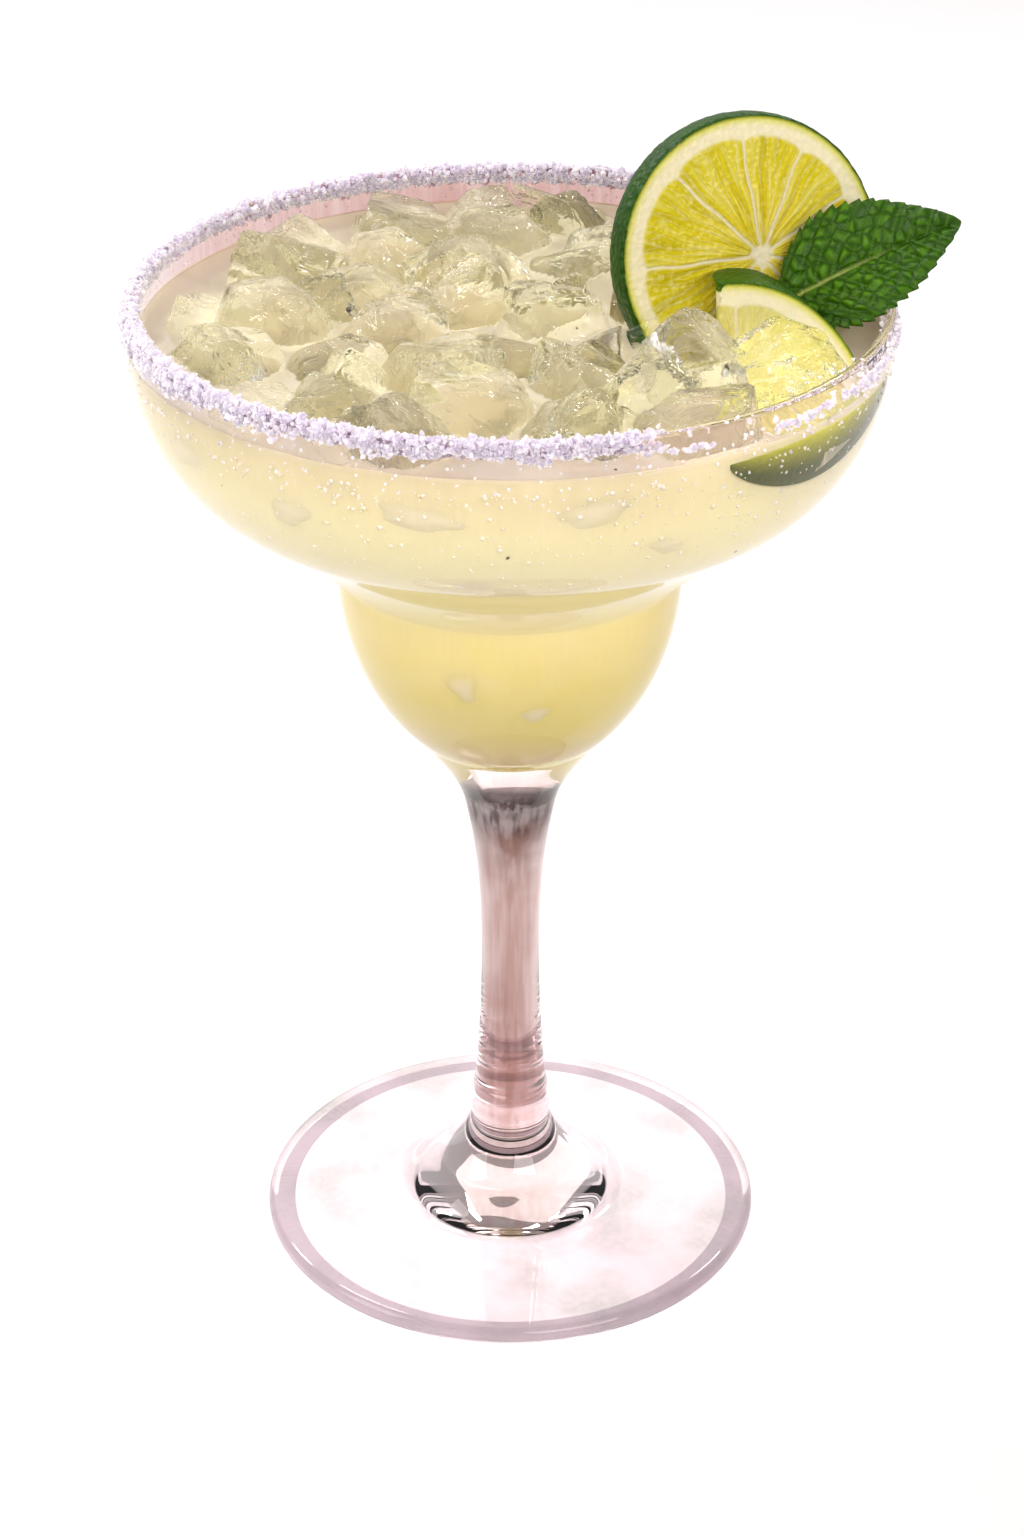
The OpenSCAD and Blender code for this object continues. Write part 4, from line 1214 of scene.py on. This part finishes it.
def build_leaf():
    """Makes the leaf as a closed thin blade, toothed, quilted between its veins, on a short stalk."""
    g = glass_sizes()
    s = read(bpy.context.scene.margarita_garnish)
    at, up, _, line = slice_place(g, s)
    side = np.array([up[1], -up[0]])
    base = at.copy()
    base[:2] += (line[-1, 0] + s.slice_t + s.leaf_behind) * up + s.leaf_aside * side
    base[2] += line[-1, 1] - s.leaf_drop
    matrix = rotation("z", s.leaf_turn) @ rotation("y", -s.leaf_rise) @ rotation("x", s.leaf_roll)

    rows, cols = 300, 44
    t = (np.arange(1, rows) / rows)[:, None]
    v = np.linspace(-1, 1, cols + 1)[None]
    half = s.leaf_w / 2 * np.sin(math.pi * t**0.76) ** 0.8
    teeth = 15
    phase = (t * teeth + 0.25 * (v > 0)) % 1
    tooth = (phase - 0.5) * 0.085 * np.minimum(1, half / 3)
    y = v * half * (1 + tooth * np.abs(v) ** 3)
    x = s.leaf_l * t + 0 * v
    spread = np.abs(y)
    # Side veins leave the midrib every few millimetres and sweep towards the tip.
    gap = s.leaf_l / 9.5
    sweep = (x - 0.75 * spread - 0.018 * spread**2) / gap + 0.3 * (y > 0)
    from_vein = np.abs((sweep + 0.5) % 1 - 0.5) * gap
    quilt = np.sin(math.pi * (sweep % 1)) ** 2 * np.clip(spread / 1.2, 0, 1) * (1 - 0.6 * np.abs(v) ** 4)
    lumps = waves(np.stack([x, y, 0 * x], -1), 3.4, 21)
    edge = np.abs(v) ** 8
    bow = 0.16 * spread + s.leaf_l * 0.05 * np.sin(math.pi * t)
    relief = 0.55 * quilt + 0.2 * lumps * (1 - edge) - 0.3 * np.exp(-((y / 0.7) ** 2))
    rise = bow + relief + 0.25 * np.sin(t * 19 + v * 2) * edge
    top = np.stack([x, y, rise + s.leaf_t * 0.45 * (1 - edge)], -1)
    low = np.stack([x, y, rise - s.leaf_t * 0.45 * (1 - edge)], -1)[:, -2:0:-1]
    rings = np.concatenate([top, low], axis=1) @ matrix.T + base

    def around(value):
        value = value + 0 * x
        return np.concatenate([value, value[:, -2:0:-1]], axis=1).reshape(-1)

    ends = [(matrix @ np.array([k, 0, 0.0])) + base for k in (0.0, s.leaf_l)]
    points, faces = closed_skin(rings, *ends)
    pad = [0.0, 0.0]
    blade = np.stack([around(x) / 2.1, around(y) / 1.7, 0 * around(x)], -1)
    vein = 0.75 * np.exp(-((from_vein / 0.16) ** 2)) * (1 - 0.5 * np.abs(v))
    # Painted light on the raised quilting, and painted shade darkening the blade towards its tip.
    light = (0.45 + 0.5 * quilt) * (1 - 0.6 * np.clip((t - 0.55) / 0.4, 0, 1))
    rib = np.exp(-((y / (0.24 * (1.25 - t))) ** 2)) * np.clip(1.0 - 1.5 * t, 0, 1)
    values = {
        "vein": np.concatenate([around(vein), pad]),
        "midrib": np.concatenate([around(rib), pad]),
        "quilt": np.concatenate([around(light), pad]),
        "blade": np.concatenate([blade, np.zeros((2, 3))]),
    }
    look = mint_surface()
    piece = make_piece("mint_leaf_blade", points, faces, [look], values=values)
    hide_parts("mint_leaf")

    # The stalk: a round path from inside the blade's base down into the drink, wider at its foot.
    start = base + matrix @ np.array([s.leaf_l * 0.1, 0, 0.1])
    end = np.array([start[0] - 1.2, start[1] + 0.3, g.level_z - 3])
    k = np.linspace(0, 1, 14)[:, None]
    path = start * (1 - k) + end * k + np.array([-1.2, 0.4, 0]) * np.sin(math.pi * k)
    lap = (np.arange(16) / 16 * TAU)[None, :, None]
    width = (0.55 + 0.25 * k)[:, :, None]
    round_it = np.cos(lap) * np.array([1, 0, 0.1]) + np.sin(lap) * np.array([0, 1, 0.1])
    rings = path[:, None] + width * round_it
    points, faces = closed_skin(rings, path[0] + (0, 0, 0.2), path[-1] - (0, 0, 0.2))
    count = len(points)
    values = {
        "vein": np.zeros(count),
        "midrib": np.full(count, 0.5),
        "quilt": np.full(count, 0.6),
        "blade": points / 3,
    }
    make_piece("mint_leaf_stalk", points, faces, [look], values=values)


# ---- Stage ----


def plain_look(name, hex_colour, rough):
    """A plain matt surface for the stage, with a breath of grain."""
    material, tree, output = new_material(name)
    place = add_node(tree, "ShaderNodeTexCoord").outputs["Object"]
    grain = noise(tree, place, per_mm(30))
    faint = ranged(tree, grain, 0, 1, end=0.04)
    body = mixed(tree, faint, hex_colour, "#E8DCDD")
    shader = add_node(tree, "ShaderNodeBsdfPrincipled", {"Base Color": body, "Roughness": rough})
    tree.links.new(shader.outputs[0], output.inputs["Surface"])
    return material


def stage_sheet(name, corners, look):
    """A flat four-cornered sheet of the stage, given in metres."""
    mesh = bpy.data.meshes.new(name)
    mesh.from_pydata(corners, [], [(0, 1, 2, 3)])
    mesh.materials.append(look)
    sheet = bpy.data.objects.new(name, mesh)
    bpy.context.scene.collection.objects.link(sheet)
    return sheet


def soft_lamp(name, place, aim, width, height, watts, hex_colour):
    """A soft rectangular lamp at place, turned to shine at aim."""
    data = bpy.data.lights.new(name, "AREA")
    data.shape = "RECTANGLE"
    data.size = width
    data.size_y = height
    data.energy = watts
    data.color = linear(hex_colour)[:3]
    lamp = bpy.data.objects.new(name, data)
    bpy.context.scene.collection.objects.link(lamp)
    way = np.asarray(aim, float) - np.asarray(place, float)
    yaw = math.atan2(way[0], -way[1])
    pitch = math.atan2(math.hypot(way[0], way[1]), -way[2])
    lamp.location = place
    lamp.rotation_euler = (pitch, 0, yaw + math.pi)
    return lamp


def build_stage():
    """Sets the pale floor, the soft lamps, the sky and the camera."""
    floor = plain_look("pale_floor", "#FDFBFB", 0.7)
    stage_sheet("floor", [(-4, -3, 0), (4, -3, 0), (4, 6, 0), (-4, 6, 0)], floor)
    for name, place, width, height, watts, hex_colour in LAMPS:
        soft_lamp(name, place, AIM, width, height, watts, hex_colour)
    world = bpy.data.worlds.new("soft_sky")
    world.use_nodes = True
    world.node_tree.nodes.clear()
    sky = add_node(world.node_tree, "ShaderNodeBackground", {"Color": linear("#FBF6F7"), "Strength": 0.5})
    out = add_node(world.node_tree, "ShaderNodeOutputWorld")
    world.node_tree.links.new(sky.outputs[0], out.inputs[0])
    bpy.context.scene.world = world
    data = bpy.data.cameras.new("view")
    data.sensor_width = 36
    data.sensor_fit = "AUTO"
    data.lens = CAMERA_LENS
    camera = bpy.data.objects.new("view", data)
    camera.location = CAMERA_PLACE
    camera.rotation_euler = (CAMERA_TILT, 0, 0)
    bpy.context.scene.collection.objects.link(camera)
    bpy.context.scene.camera = camera
    bpy.context.scene.view_settings.view_transform = "Standard"


# ---- Add-on ----


class MARGARITA_OT_glass(bpy.types.Operator):
    """Build the stepped, stemmed glass"""

    bl_idname = "margarita.glass"
    bl_label = "Glass"

    def execute(self, context):
        build_glass()
        return {"FINISHED"}


class MARGARITA_OT_drink(bpy.types.Operator):
    """Build the cloudy drink with its uneven top"""

    bl_idname = "margarita.drink"
    bl_label = "Drink"

    def execute(self, context):
        build_drink()
        return {"FINISHED"}


class MARGARITA_OT_ice(bpy.types.Operator):
    """Build the melting pieces of ice"""

    bl_idname = "margarita.ice"
    bl_label = "Ice"

    def execute(self, context):
        if not ICE_NODES:
            raise RuntimeError("the frame has no piece of ice")
        build_ice()
        return {"FINISHED"}


class MARGARITA_OT_bubbles(bpy.types.Operator):
    """Build the fine bubbles and the specks of zest"""

    bl_idname = "margarita.bubbles"
    bl_label = "Bubbles and specks"

    def execute(self, context):
        build_bubbles()
        return {"FINISHED"}


class MARGARITA_OT_sunk_ice(bpy.types.Operator):
    """Build the patches of ice just under the surface at the wall"""

    bl_idname = "margarita.sunk_ice"
    bl_label = "Sunk ice"

    def execute(self, context):
        build_sunk_ice()
        return {"FINISHED"}


class MARGARITA_OT_salt(bpy.types.Operator):
    """Build the salt on the lip"""

    bl_idname = "margarita.salt"
    bl_label = "Salt"

    def execute(self, context):
        build_salt()
        return {"FINISHED"}


class MARGARITA_OT_lime(bpy.types.Operator):
    """Build the lime wheel and the lime slice"""

    bl_idname = "margarita.lime"
    bl_label = "Lime"

    def execute(self, context):
        build_wheel()
        build_slice()
        return {"FINISHED"}


class MARGARITA_OT_mint(bpy.types.Operator):
    """Build the mint leaf and its stalk"""

    bl_idname = "margarita.mint"
    bl_label = "Mint"

    def execute(self, context):
        build_leaf()
        return {"FINISHED"}


class MARGARITA_OT_stage(bpy.types.Operator):
    """Build the floor, the lamps and the camera"""

    bl_idname = "margarita.stage"
    bl_label = "Stage"

    def execute(self, context):
        build_stage()
        return {"FINISHED"}


OPERATORS = (
    MARGARITA_OT_glass,
    MARGARITA_OT_drink,
    MARGARITA_OT_ice,
    MARGARITA_OT_bubbles,
    MARGARITA_OT_sunk_ice,
    MARGARITA_OT_salt,
    MARGARITA_OT_lime,
    MARGARITA_OT_mint,
    MARGARITA_OT_stage,
)


class MARGARITA_PT_panel(bpy.types.Panel):
    """Lists the margarita's sizes, colours and pieces"""

    bl_idname = "MARGARITA_PT_panel"
    bl_label = "Margarita"
    bl_space_type = "VIEW_3D"
    bl_region_type = "UI"
    bl_category = "Margarita"

    def draw(self, context):
        for group in (context.scene.margarita_glass, context.scene.margarita_garnish,
                      context.scene.margarita_colours):
            box = self.layout.box()
            for prop in group.bl_rna.properties:
                if prop.identifier not in ("rna_type", "name"):
                    box.prop(group, prop.identifier)
        for operator in OPERATORS:
            self.layout.operator(operator.bl_idname)


CLASSES = (MargaritaGlass, MargaritaGarnish, MargaritaColours, *OPERATORS, MARGARITA_PT_panel)


def register():
    for item in CLASSES:
        bpy.utils.register_class(item)
    scene = bpy.types.Scene
    scene.margarita_glass = bpy.props.PointerProperty(type=MargaritaGlass)
    scene.margarita_garnish = bpy.props.PointerProperty(type=MargaritaGarnish)
    scene.margarita_colours = bpy.props.PointerProperty(type=MargaritaColours)


def unregister():
    del bpy.types.Scene.margarita_colours
    del bpy.types.Scene.margarita_garnish
    del bpy.types.Scene.margarita_glass
    for item in reversed(CLASSES):
        bpy.utils.unregister_class(item)


def main():
    """Registers the add-on and builds every piece in order."""
    register()
    for operator in OPERATORS:
        family, name = operator.bl_idname.split(".")
        getattr(getattr(bpy.ops, family), name)()


if __name__ == "__main__":
    main()
